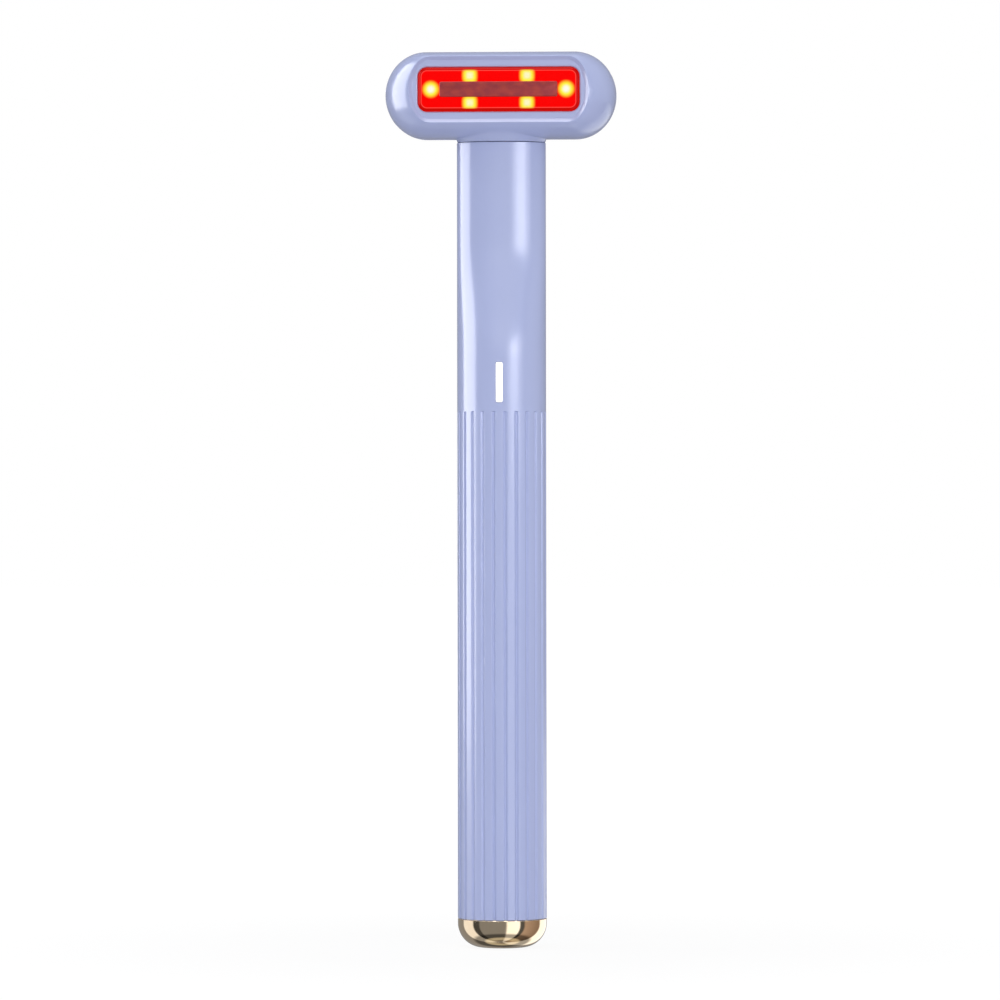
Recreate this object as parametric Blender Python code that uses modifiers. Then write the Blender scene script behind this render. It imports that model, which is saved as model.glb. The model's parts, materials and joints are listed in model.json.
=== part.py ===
import math

import bmesh
import bpy
from mathutils import Matrix, Vector

# Sizes in metres. The wand stands on its base cap, its front faces -Y and the head turns about Z.

# Clearances
SEAT_GAP = 0.0003
RUN_GAP = 0.00025
WINDOW_GAP = 0.0002
SEAM_GAP = 0.00025
OVERRUN = 0.001
SINK = 0.0005
MERGE = 0.00001

# Overall
TOTAL_HEIGHT = 0.165
BARREL_RADIUS = 0.0082
BARREL_WALL = 0.0015
HEAD_WIDTH = 0.0425
HEAD_HEIGHT = 0.01594
HEAD_FRONT_MARGIN = 0.0014
HEAD_BACK_MARGIN = 0.0016
HEAD_WALL = 0.0015
COLLAR_DROP = 0.00076

# Head form
FACE_HALF_WIDTH = 0.0166
FACE_HALF_HEIGHT = 0.0061
FACE_END_RADIUS = 0.004
FACE_RISE = 0.00072
FACE_EDGE_ANGLE = math.radians(30)
FRONT_ROUND_DEPTH = 0.0078
END_RADIUS = 0.0075
REAR_HALF_WIDTH = 0.016
REAR_HALF_HEIGHT = 0.0052
REAR_END_RADIUS = 0.0044
BACK_ROUND_DEPTH = 0.009
COLLAR_REACH = 0.0036
COLLAR_FRONT_STEP = 0.0005
COLLAR_FLARE = 0.003
HOOK_WIDTH = 0.003
HOOK_THICKNESS = 0.0008
HOOK_REACH = 0.0025
HOOK_ROOT_START = 0.0012
HOOK_ROOT_END = 0.003
HOOK_PLACE = 0.011
BOARD_POST_RADIUS = 0.0013
BOARD_POST_PLACE = 0.0125

# Red window, contact plate and lamps
WINDOW_WIDTH = 0.0296
WINDOW_HEIGHT = 0.00805
WINDOW_CORNER = 0.0014
LENS_SKIN = 0.0012
LENS_WALL = 0.0006
LENS_FLANGE = 0.001
LENS_FLANGE_THICKNESS = 0.001
GASKET_THICKNESS = 0.0005
PLATE_WIDTH = 0.0216
PLATE_HEIGHT = 0.0028
PLATE_THICKNESS = 0.0006
PLATE_PROUD = 0.0002
PLATE_POST_RADIUS = 0.0005
PLATE_POST_PLACE = 0.0088
LED_BOARD_THICKNESS = 0.0008
LED_SIZE = 0.0014
LED_THICKNESS = 0.0008
LED_PAIR_PLACE = 0.00525
LED_PAIR_RISE = 0.0025
LED_END_PLACE = 0.0123
HEAD_CONNECTOR_WIDTH = 0.005
HEAD_CONNECTOR_HEIGHT = 0.0025
HEAD_CONNECTOR_BACK = 0.0012

# Vibration motor
MOTOR_RADIUS = 0.002
MOTOR_LENGTH = 0.008
MOTOR_END_X = 0.002
MOTOR_BACK_DEPTH = 0.0052
MOTOR_RISE = 0.00097
MOTOR_SHAFT_RADIUS = 0.0004
MOTOR_SHAFT_LENGTH = 0.0034
WEIGHT_RADIUS = 0.0022
WEIGHT_LENGTH = 0.0026
WEIGHT_HUB = 0.0009
WEIGHT_OFFSET = 0.0003
CRADLE_WALL = 0.0009
CRADLE_INSET = 0.0005
CRADLE_FRONT = 0.001

# Swivel
PIVOT_SHARE = 0.62
PIVOT_WALL = 0.001
PIVOT_FLANGE_REACH = 0.0016
PIVOT_FLANGE_THICKNESS = 0.0008
PIVOT_FLANGE_CORNER = 0.0008
PIVOT_LIP = 0.0003
PIVOT_TAIL = 0.0006
CLIP_GROOVE_DEPTH = 0.0005
CLIP_GROOVE_MARGIN = 0.0002
CLIP_THICKNESS = 0.0005
CLIP_WIDTH = 0.0011
CLIP_MOUTH_ANGLE = math.radians(50)
WASHER_THICKNESS = 0.0003
STOP_RING_THICKNESS = 0.0008
STOP_TAB_HALF_ANGLE = math.radians(20)
STOP_BLOCK_HALF_ANGLE = math.radians(69)
STOP_BLOCK_MARGIN = 0.00015
BUSHING_LENGTH = 0.0039
BUSHING_FLANGE_THICKNESS = 0.0005
NECK_BORE_SHARE = 0.49
COUNTERBORE_STEP = 0.0006
COUNTERBORE_DEPTH = 0.0008
KEY_RIB_THICKNESS = 0.001
KEY_RIB_HALF_WIDTH = 0.004

# Handle form
SCOOP_FULL_LENGTH = 0.0178
SCOOP_LENGTH = 0.021
SCOOP_DEPTH_SHARE = 0.341
SCOOP_SKIM = 0.00005
BORE_CONE_RISE = 0.0025
BORE_CONE_LENGTH = 0.0035
GROOVE_COUNT = 24
GROOVE_WIDTH = 0.0008
GROOVE_DEPTH = 0.0003
GROOVE_TOP_DROP = 0.00532

# Base cap and charging socket
CAP_HEIGHT = 0.0052
CAP_CORNER_RADIUS = 0.0045
CAP_FLOOR = 0.0012
SPIGOT_WALL = 0.0012
SPIGOT_LENGTH = 0.0028
SEAL_RADIUS = 0.00028
SEAL_GROOVE_DEPTH = 0.0005
SEAL_GROOVE_WIDTH = 0.0009
PORT_SIDE_MARGIN = 0.00073
PORT_DEPTH = 0.00326
PORT_WALL = 0.0003
PORT_RECESS = 0.0005
TONGUE_SIDE_MARGIN = 0.00082
TONGUE_THICKNESS = 0.0007
TONGUE_BLOCK = 0.0013
PORT_BOARD_THICKNESS = 0.0008
PORT_BOARD_MARGIN = 0.0009
CAP_CONTACT_WIDTH = 0.0016
CAP_CONTACT_THICKNESS = 0.0012
CAP_CONTACT_LENGTH = 0.0024

# Frame, boards and battery in the barrel
BOARD_THICKNESS = 0.0008
BOARD_TOP_RISE = 0.00615
CHASSIS_WALL = 0.0009
CHASSIS_TOP_RISE = 0.00035
BRIDGE_INSET = 0.0001
BRIDGE_DEPTH = 0.0016
LOWER_BRIDGE_RISE = 0.0064
UPPER_BRIDGE_DROP = 0.00815
SCREW_BRIDGE_LENGTH = 0.003
BATTERY_BRIDGE_LENGTH = 0.0016
SCREW_RADIUS = 0.0005
SCREW_HEAD_RADIUS = 0.0011
SCREW_HEAD_THICKNESS = 0.0007
SCREW_LENGTH = 0.0026
BATTERY_FRONT_MARGIN = 0.0007
BATTERY_BRIDGE_DROP = 0.00375
BATTERY_EDGE = 0.0004
TAB_THICKNESS = 0.0003
TAB_HALF_WIDTH = 0.002
CHARGER_CHIP_DROP = 0.0155
CHARGER_CHIP_SIZE = 0.003
CONTROLLER_CHIP_DROP = 0.0095
CONTROLLER_CHIP_SIZE = 0.005
CHIP_THICKNESS = 0.001
CAPACITOR_DROP = 0.0045
CAPACITOR_PLACE = 0.0015
CAPACITOR_WIDTH = 0.0012
CAPACITOR_HEIGHT = 0.002
CAPACITOR_THICKNESS = 0.0011
COIL_DROP = 0.00345
COIL_RADIUS = 0.0022
COIL_THICKNESS = 0.0024
CONNECTOR_WIDTH = 0.0044
CONNECTOR_HEIGHT = 0.0048
CONNECTOR_BACK = 0.0012
LEAD_MARGIN = 0.0006

# Lit power key
KEY_DROP = 0.00508
KEY_WIDTH = 0.00129
KEY_LENGTH = 0.00736
KEY_PROUD = 0.00005
KEY_CLEARANCE = 0.0002
KEY_TRAVEL = 0.0003
KEY_FLANGE_WIDTH = 0.0036
KEY_FLANGE_LENGTH = 0.0092
KEY_FLANGE_THICKNESS = 0.0006
PLUNGER_RADIUS = 0.0007
PLUNGER_LENGTH = 0.00045
SWITCH_WIDTH = 0.004
SWITCH_HEIGHT = 0.0034
SWITCH_DEPTH = 0.00055
INDICATOR_PLACE = 0.0029
INDICATOR_SIZE = 0.001
INDICATOR_THICKNESS = 0.0005

# Facets
BARREL_STEPS = 96
CAP_STEPS = 48
CAP_CORNER_STEPS = 6
SEAL_STEPS = 6
CHASSIS_STEPS = 20
ROUND_STEPS = 32
SMALL_STEPS = 16
CORNER_STEPS = 5
END_STEPS = 14
FRONT_ROUND_STEPS = 7
BACK_ROUND_STEPS = 6
SCOOP_STEPS = 12
SCOOP_SIDE_STEPS = 24
ARC_STEP_ANGLE = math.radians(9)
SHARP_ANGLE = math.radians(45)

# Radii about the barrel's axis, from the sizes above
BORE_RADIUS = BARREL_RADIUS - BARREL_WALL
SPIGOT_RADIUS = BORE_RADIUS - SEAT_GAP
CAP_CAVITY_RADIUS = SPIGOT_RADIUS - SPIGOT_WALL
CHASSIS_INNER_RADIUS = SPIGOT_RADIUS - CHASSIS_WALL
PORT_BOARD_RADIUS = BORE_RADIUS - PORT_BOARD_MARGIN
PORT_WIDTH = 2 * (CAP_CAVITY_RADIUS - PORT_SIDE_MARGIN)
TONGUE_WIDTH = PORT_WIDTH - 2 * (PORT_WALL + TONGUE_SIDE_MARGIN)
SCOOP_DEPTH = BARREL_RADIUS * SCOOP_DEPTH_SHARE
COLLAR_FRONT_REACH = BARREL_RADIUS - SCOOP_DEPTH + COLLAR_FRONT_STEP
NECK_BORE_RADIUS = BARREL_RADIUS * NECK_BORE_SHARE
COUNTERBORE_RADIUS = NECK_BORE_RADIUS + COUNTERBORE_STEP
BUSHING_FLANGE_RADIUS = COUNTERBORE_RADIUS - SEAT_GAP
PIVOT_RADIUS = NECK_BORE_RADIUS * PIVOT_SHARE
PIVOT_BORE_RADIUS = PIVOT_RADIUS - PIVOT_WALL
PIVOT_FLANGE_HALF = PIVOT_RADIUS + PIVOT_FLANGE_REACH
LEAD_RADIUS = PIVOT_BORE_RADIUS - LEAD_MARGIN
STOP_RING_RADIUS = (PIVOT_RADIUS + NECK_BORE_RADIUS - WINDOW_GAP) / 2
STOP_BLOCK_RADIUS = STOP_RING_RADIUS + WINDOW_GAP

# Levels up the wand
HEAD_CENTRE_Z = TOTAL_HEIGHT - HEAD_HEIGHT / 2
HEAD_BOTTOM_Z = TOTAL_HEIGHT - HEAD_HEIGHT
COLLAR_BOTTOM_Z = HEAD_BOTTOM_Z - COLLAR_DROP
NECK_TOP_Z = COLLAR_BOTTOM_Z - SEAT_GAP
COUNTERBORE_Z = NECK_TOP_Z - COUNTERBORE_DEPTH
BUSHING_FLANGE_Z = COUNTERBORE_Z + RUN_GAP
BUSHING_BOTTOM_Z = BUSHING_FLANGE_Z - BUSHING_LENGTH
WASHER_TOP_Z = BUSHING_BOTTOM_Z - RUN_GAP
WASHER_BOTTOM_Z = WASHER_TOP_Z - WASHER_THICKNESS
STOP_RING_TOP_Z = WASHER_BOTTOM_Z - RUN_GAP
STOP_RING_BOTTOM_Z = STOP_RING_TOP_Z - STOP_RING_THICKNESS
CLIP_TOP_Z = STOP_RING_BOTTOM_Z - RUN_GAP
CLIP_BOTTOM_Z = CLIP_TOP_Z - CLIP_THICKNESS
PIVOT_BOTTOM_Z = CLIP_BOTTOM_Z - PIVOT_TAIL
HEAD_FLOOR_Z = HEAD_BOTTOM_Z + HEAD_WALL
PIVOT_FLANGE_BOTTOM_Z = HEAD_FLOOR_Z + SEAT_GAP
PIVOT_FLANGE_TOP_Z = PIVOT_FLANGE_BOTTOM_Z + PIVOT_FLANGE_THICKNESS
PIVOT_TOP_Z = PIVOT_FLANGE_TOP_Z + PIVOT_LIP
LEAD_TOP_Z = PIVOT_TOP_Z + PIVOT_LIP
HEAD_CONNECTOR_BOTTOM_Z = LEAD_TOP_Z + SEAT_GAP
FACE_CENTRE_Z = HEAD_CENTRE_Z + FACE_RISE
MOTOR_Z = HEAD_CENTRE_Z + MOTOR_RISE

SCOOP_FULL_Z = NECK_TOP_Z - SCOOP_FULL_LENGTH
SCOOP_START_Z = SCOOP_FULL_Z - SCOOP_LENGTH
BORE_CONE_START_Z = SCOOP_START_Z + BORE_CONE_RISE
BORE_CONE_END_Z = BORE_CONE_START_Z + BORE_CONE_LENGTH
KEY_Z = SCOOP_START_Z - KEY_DROP
GROOVE_TOP_Z = KEY_Z - GROOVE_TOP_DROP
BOARD_TOP_Z = KEY_Z + BOARD_TOP_RISE
CONNECTOR_Z = BOARD_TOP_Z - CONNECTOR_HEIGHT / 2
CHASSIS_TOP_Z = KEY_Z + CHASSIS_TOP_RISE
COIL_Z = KEY_Z - COIL_DROP
UPPER_BRIDGE_Z = KEY_Z - UPPER_BRIDGE_DROP
CAPACITOR_Z = UPPER_BRIDGE_Z - CAPACITOR_DROP
CONTROLLER_CHIP_Z = UPPER_BRIDGE_Z - CONTROLLER_CHIP_DROP
CHARGER_CHIP_Z = UPPER_BRIDGE_Z - CHARGER_CHIP_DROP
BATTERY_BRIDGE_Z = CHARGER_CHIP_Z - BATTERY_BRIDGE_DROP
BATTERY_TOP_Z = BATTERY_BRIDGE_Z - BATTERY_BRIDGE_LENGTH / 2 - SEAT_GAP - TAB_THICKNESS - RUN_GAP

BARREL_BOTTOM_Z = CAP_HEIGHT + SEAM_GAP
SPIGOT_TOP_Z = CAP_HEIGHT + SPIGOT_LENGTH
PORT_BOARD_BOTTOM_Z = SPIGOT_TOP_Z + SEAT_GAP
PORT_BOARD_TOP_Z = PORT_BOARD_BOTTOM_Z + PORT_BOARD_THICKNESS
PORT_TOP_Z = PORT_BOARD_BOTTOM_Z - SEAT_GAP
BOARD_BOTTOM_Z = PORT_BOARD_TOP_Z + SEAT_GAP
LOWER_BRIDGE_Z = BOARD_BOTTOM_Z + LOWER_BRIDGE_RISE
BATTERY_BOTTOM_Z = (
    LOWER_BRIDGE_Z + SCREW_BRIDGE_LENGTH / 2 + RUN_GAP + TAB_THICKNESS + RUN_GAP
)

# Levels through the head, front to back
FRONT_Y = -(BARREL_RADIUS + HEAD_FRONT_MARGIN)
BACK_Y = BARREL_RADIUS + HEAD_BACK_MARGIN
MOTOR_Y = BACK_Y - MOTOR_BACK_DEPTH
WALL_BACK_Y = FRONT_Y + HEAD_WALL
GASKET_FRONT_Y = WALL_BACK_Y + WINDOW_GAP
GASKET_BACK_Y = GASKET_FRONT_Y + GASKET_THICKNESS
FLANGE_FRONT_Y = GASKET_BACK_Y + SEAT_GAP
FLANGE_BACK_Y = FLANGE_FRONT_Y + LENS_FLANGE_THICKNESS
LED_BOARD_FRONT_Y = FLANGE_BACK_Y + SEAT_GAP
LED_BOARD_BACK_Y = LED_BOARD_FRONT_Y + LED_BOARD_THICKNESS
LED_BACK_Y = LED_BOARD_FRONT_Y - SEAT_GAP
PLATE_FRONT_Y = FRONT_Y - PLATE_PROUD
PLATE_BACK_Y = PLATE_FRONT_Y + PLATE_THICKNESS
PLATE_POCKET_Y = PLATE_BACK_Y + SEAT_GAP

# Levels through the barrel, front to back
KEY_FRONT_Y = -(BARREL_RADIUS + KEY_PROUD)
KEY_FLANGE_FRONT_Y = RUN_GAP - math.sqrt(BORE_RADIUS**2 - (KEY_FLANGE_WIDTH / 2) ** 2)
KEY_FLANGE_BACK_Y = KEY_FLANGE_FRONT_Y + KEY_FLANGE_THICKNESS
PLUNGER_FRONT_Y = KEY_FLANGE_BACK_Y + RUN_GAP
SWITCH_FRONT_Y = KEY_FLANGE_BACK_Y + KEY_TRAVEL + WINDOW_GAP
SWITCH_BACK_Y = SWITCH_FRONT_Y + SWITCH_DEPTH
BOARD_FRONT_Y = SWITCH_BACK_Y + RUN_GAP
BOARD_BACK_Y = BOARD_FRONT_Y + BOARD_THICKNESS
BOARD_HALF_WIDTH = math.sqrt(BORE_RADIUS**2 - BOARD_FRONT_Y**2) - SEAT_GAP
CHASSIS_FRONT_Y = BOARD_BACK_Y + SEAT_GAP
BRIDGE_FRONT_Y = CHASSIS_FRONT_Y + BRIDGE_INSET
BRIDGE_END_RADIUS = (SPIGOT_RADIUS + CHASSIS_INNER_RADIUS) / 2
BRIDGE_HALF_WIDTH = math.sqrt(BRIDGE_END_RADIUS**2 - BRIDGE_FRONT_Y**2)
BATTERY_BACK_Y = CHASSIS_INNER_RADIUS - SEAT_GAP
BATTERY_RADIUS = (BATTERY_BACK_Y - BOARD_BACK_Y - BATTERY_FRONT_MARGIN) / 2
BATTERY_Y = BATTERY_BACK_Y - BATTERY_RADIUS

# Finish: sRGB colour, roughness, metallic
FINISHES = {
    "lavender plastic": ((178, 188, 222), 0.38, 0.0),
    "polished gold": ((226, 200, 160), 0.12, 1.0),
    "red lens": ((226, 20, 22), 0.15, 0.0),
    "mauve metal": ((150, 70, 72), 0.35, 1.0),
    "white key": ((255, 255, 255), 0.4, 0.0),
    "steel": ((190, 192, 196), 0.25, 1.0),
    "brass": ((200, 165, 95), 0.3, 1.0),
    "black rubber": ((28, 28, 30), 0.7, 0.0),
    "white nylon": ((225, 225, 220), 0.5, 0.0),
    "black plastic": ((32, 32, 35), 0.45, 0.0),
    "green board": ((22, 92, 54), 0.5, 0.0),
    "black chip": ((24, 24, 26), 0.4, 0.0),
    "ceramic": ((176, 142, 104), 0.5, 0.0),
    "copper": ((184, 110, 70), 0.3, 1.0),
    "battery film": ((46, 92, 160), 0.35, 0.0),
    "lamp": ((250, 236, 190), 0.3, 0.0),
    "lead": ((40, 40, 44), 0.5, 0.0),
}

# Outline axes: local x, y and extrusion
UPRIGHT = Matrix.Identity(3)
FACING_FRONT = Matrix(((1, 0, 0), (0, 0, -1), (0, 1, 0)))


# Scene, materials and collections
def clear_scene():
    for old in list(bpy.data.objects):
        bpy.data.objects.remove(old, do_unlink=True)


def new_collection(name):
    collection = bpy.data.collections.new(name)
    bpy.context.scene.collection.children.link(collection)
    return collection


def linear(channel):
    share = channel / 255
    return share / 12.92 if share <= 0.04045 else ((share + 0.055) / 1.055) ** 2.4


def finish_material(name, finish):
    colour, roughness, metallic = FINISHES[finish]
    material = bpy.data.materials.new(name)
    material.use_nodes = True
    shader = material.node_tree.nodes["Principled BSDF"]
    shader.inputs["Base Color"].default_value = (*[linear(c) for c in colour], 1)
    shader.inputs["Roughness"].default_value = roughness
    shader.inputs["Metallic"].default_value = metallic
    return material


def frame_at(name, place):
    frame = bpy.data.objects.new(name, None)
    frame.location = place
    wand.objects.link(frame)
    return frame


def finished(obj, finish, frame):
    obj.data.materials.append(finish_material(f"{obj.name} finish", finish))
    obj.parent = frame
    obj.matrix_parent_inverse = Matrix.Translation(-frame.location)
    return obj


def linked(name, data, collection, matrix):
    obj = bpy.data.objects.new(name, data)
    obj.matrix_world = matrix
    collection.objects.link(obj)
    if collection == cutters:
        obj.hide_render = True
        obj.display_type = "WIRE"
    return obj


# Basic shapes, each an object in the collection asked for
def box(name, low, high, collection):
    low, high = Vector(low), Vector(high)
    bm = bmesh.new()
    bmesh.ops.create_cube(bm, size=1, matrix=Matrix.Diagonal((high - low).to_4d()))
    mesh = bpy.data.meshes.new(name)
    bm.to_mesh(mesh)
    bm.free()
    return linked(name, mesh, collection, Matrix.Translation((low + high) / 2))


def rod(name, radius, start, end, collection, steps=ROUND_STEPS):
    start, end = Vector(start), Vector(end)
    bm = bmesh.new()
    bmesh.ops.create_cone(
        bm, cap_ends=True, segments=steps, radius1=radius, radius2=radius, depth=(end - start).length
    )
    mesh = bpy.data.meshes.new(name)
    bm.to_mesh(mesh)
    bm.free()
    turn = Vector((0, 0, 1)).rotation_difference(end - start).to_matrix().to_4x4()
    mesh.shade_smooth()
    mesh.set_sharp_from_angle(angle=SHARP_ANGLE)
    return linked(name, mesh, collection, Matrix.Translation((start + end) / 2) @ turn)


def turned(name, profile, collection, steps=ROUND_STEPS, closed=False):
    # The profile runs down its outer side, as (radius, height) pairs
    edges = [(i, i + 1) for i in range(len(profile) - 1)]
    if closed:
        edges.append((len(profile) - 1, 0))
    mesh = bpy.data.meshes.new(name)
    mesh.from_pydata([(radius, 0, height) for radius, height in profile], edges, [])
    obj = linked(name, mesh, collection, Matrix.Identity(4))
    screw = obj.modifiers.new("turn", "SCREW")
    screw.steps = screw.render_steps = steps
    screw.use_merge_vertices = True
    screw.merge_threshold = MERGE
    return obj


def outline(name, loops, thickness, centre, axes, collection):
    # A flat outline with its holes, extruded both ways from centre, as a mesh
    curve = bpy.data.curves.new(name, "CURVE")
    curve.dimensions = "2D"
    curve.fill_mode = "BOTH"
    curve.extrude = thickness / 2
    for loop in loops:
        spline = curve.splines.new("POLY")
        spline.points.add(len(loop) - 1)
        for point, (u, v) in zip(spline.points, loop):
            point.co = (u, v, 0, 1)
        spline.use_cyclic_u = True
    guide = bpy.data.objects.new(f"{name} outline", curve)
    bpy.context.scene.collection.objects.link(guide)
    graph = bpy.context.evaluated_depsgraph_get()
    mesh = bpy.data.meshes.new_from_object(guide.evaluated_get(graph))
    mesh.name = name
    bpy.data.objects.remove(guide)
    bm = bmesh.new()
    bm.from_mesh(mesh)
    bmesh.ops.remove_doubles(bm, verts=bm.verts, dist=MERGE)
    bmesh.ops.recalc_face_normals(bm, faces=bm.faces)
    bm.to_mesh(mesh)
    bm.free()
    return linked(name, mesh, collection, Matrix.Translation(centre) @ axes.to_4x4())


def boolean(obj, operation, *others):
    for other in others:
        modifier = obj.modifiers.new(other.name, "BOOLEAN")
        modifier.object = other
        modifier.operation = operation
        modifier.solver = "EXACT"
    return obj


# Outlines as (u, v) points, anticlockwise
def arc(centre_u, centre_v, radius_u, radius_v, start, end, steps):
    turns = [start + (end - start) * i / steps for i in range(steps + 1)]
    return [(centre_u + radius_u * math.cos(t), centre_v + radius_v * math.sin(t)) for t in turns]


def rounded_rectangle(width, height, corner, steps=CORNER_STEPS):
    points = []
    for quarter, (side_u, side_v) in enumerate(((1, 1), (-1, 1), (-1, -1), (1, -1))):
        start = quarter * math.pi / 2
        centre_u, centre_v = side_u * (width / 2 - corner), side_v * (height / 2 - corner)
        points += arc(centre_u, centre_v, corner, corner, start, start + math.pi / 2, steps)
    return points


def oblong(width, height):
    # Two half circles joined by straight sides, along the longer side
    radius = min(width, height) / 2
    along_u, along_v = width / 2 - radius, height / 2 - radius
    quarter = math.pi / 2
    if along_u >= along_v:
        right = arc(along_u, 0, radius, radius, -quarter, quarter, SMALL_STEPS // 2)
        return right + [(-u, -v) for u, v in right]
    top = arc(0, along_v, radius, radius, 0, 2 * quarter, SMALL_STEPS // 2)
    return top + [(-u, -v) for u, v in top]


def loft(name, rings, collection):
    # Joins closed rings of points in turn, with a flat face at each end
    bm = bmesh.new()
    rows = [[bm.verts.new(point) for point in ring] for ring in rings]
    for near, far in zip(rows, rows[1:]):
        for i in range(len(near)):
            after = (i + 1) % len(near)
            bm.faces.new((near[i], near[after], far[after]))
            bm.faces.new((near[i], far[after], far[i]))
    bm.faces.new(rows[0][::-1])
    bm.faces.new(rows[-1])
    bmesh.ops.recalc_face_normals(bm, faces=bm.faces)
    mesh = bpy.data.meshes.new(name)
    bm.to_mesh(mesh)
    bm.free()
    mesh.shade_smooth()
    mesh.set_sharp_from_angle(angle=SHARP_ANGLE)
    return linked(name, mesh, collection, Matrix.Identity(4))


def sector(inner_radius, outer_radius, middle, half_angle):
    steps = max(2, math.ceil(2 * half_angle / ARC_STEP_ANGLE))
    outer = arc(0, 0, outer_radius, outer_radius, middle - half_angle, middle + half_angle, steps)
    inner = arc(0, 0, inner_radius, inner_radius, middle + half_angle, middle - half_angle, steps)
    return outer + inner


# Handle
def scoop_cutter():
    # What is shaved off the front of the neck, which leaves it a half ellipse there
    levels = []
    for i in range(SCOOP_STEPS + 1):
        t = i / SCOOP_STEPS
        ease = t * t * (3 - 2 * t)
        depth = (SCOOP_DEPTH + SCOOP_SKIM) * ease - SCOOP_SKIM
        levels.append((SCOOP_START_Z + SCOOP_LENGTH * t, depth))
    levels.append((NECK_TOP_Z + OVERRUN, SCOOP_DEPTH))
    side, front = BARREL_RADIUS + SCOOP_SKIM, -BARREL_RADIUS - OVERRUN
    rings = []
    for z, depth in levels:
        section = arc(0, 0, side, BARREL_RADIUS - depth, -math.pi, 0, SCOOP_SIDE_STEPS)
        section += [(side, front), (-side, front)]
        rings.append([(x, y, z) for x, y in section])
    return loft("scoop cutter", rings, cutters)


def groove_cutters():
    bm = bmesh.new()
    bottom, top = BARREL_BOTTOM_Z - OVERRUN, GROOVE_TOP_Z
    size = Vector((GROOVE_DEPTH + OVERRUN, GROOVE_WIDTH, top - bottom))
    place = Vector((BARREL_RADIUS - GROOVE_DEPTH + size.x / 2, 0, (top + bottom) / 2))
    for i in range(GROOVE_COUNT):
        # A rib, not a groove, faces the front
        turn = Matrix.Rotation((i + 0.5) * 2 * math.pi / GROOVE_COUNT, 4, "Z")
        matrix = turn @ Matrix.Translation(place) @ Matrix.Diagonal(size.to_4d())
        bmesh.ops.create_cube(bm, size=1, matrix=matrix)
    mesh = bpy.data.meshes.new("groove cutters")
    bm.to_mesh(mesh)
    bm.free()
    return linked("groove cutters", mesh, cutters, Matrix.Identity(4))


def make_handle_shell():
    profile = [
        (BARREL_RADIUS, NECK_TOP_Z),
        (BARREL_RADIUS, BARREL_BOTTOM_Z),
        (BORE_RADIUS, BARREL_BOTTOM_Z),
        (BORE_RADIUS, BORE_CONE_START_Z),
        (NECK_BORE_RADIUS, BORE_CONE_END_Z),
        (NECK_BORE_RADIUS, COUNTERBORE_Z),
        (COUNTERBORE_RADIUS, COUNTERBORE_Z),
        (COUNTERBORE_RADIUS, NECK_TOP_Z),
    ]
    shell = turned("handle_shell", profile, wand, BARREL_STEPS, closed=True)
    slot = outline(
        "key slot cutter",
        [oblong(KEY_WIDTH + 2 * KEY_CLEARANCE, KEY_LENGTH + 2 * KEY_CLEARANCE)],
        BARREL_WALL + 2 * OVERRUN,
        (0, -(BARREL_RADIUS + BORE_RADIUS) / 2, KEY_Z),
        FACING_FRONT,
        cutters,
    )
    block_bottom = STOP_RING_BOTTOM_Z - STOP_BLOCK_MARGIN
    block_top = STOP_RING_TOP_Z + STOP_BLOCK_MARGIN
    block = outline(
        "stop block",
        [sector(STOP_BLOCK_RADIUS, NECK_BORE_RADIUS + SINK, math.pi / 2, STOP_BLOCK_HALF_ANGLE)],
        block_top - block_bottom,
        (0, 0, (block_top + block_bottom) / 2),
        UPRIGHT,
        cutters,
    )
    boolean(shell, "DIFFERENCE", groove_cutters(), scoop_cutter(), slot)
    boolean(shell, "UNION", block)
    finished(shell, "lavender plastic", handle)


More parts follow.
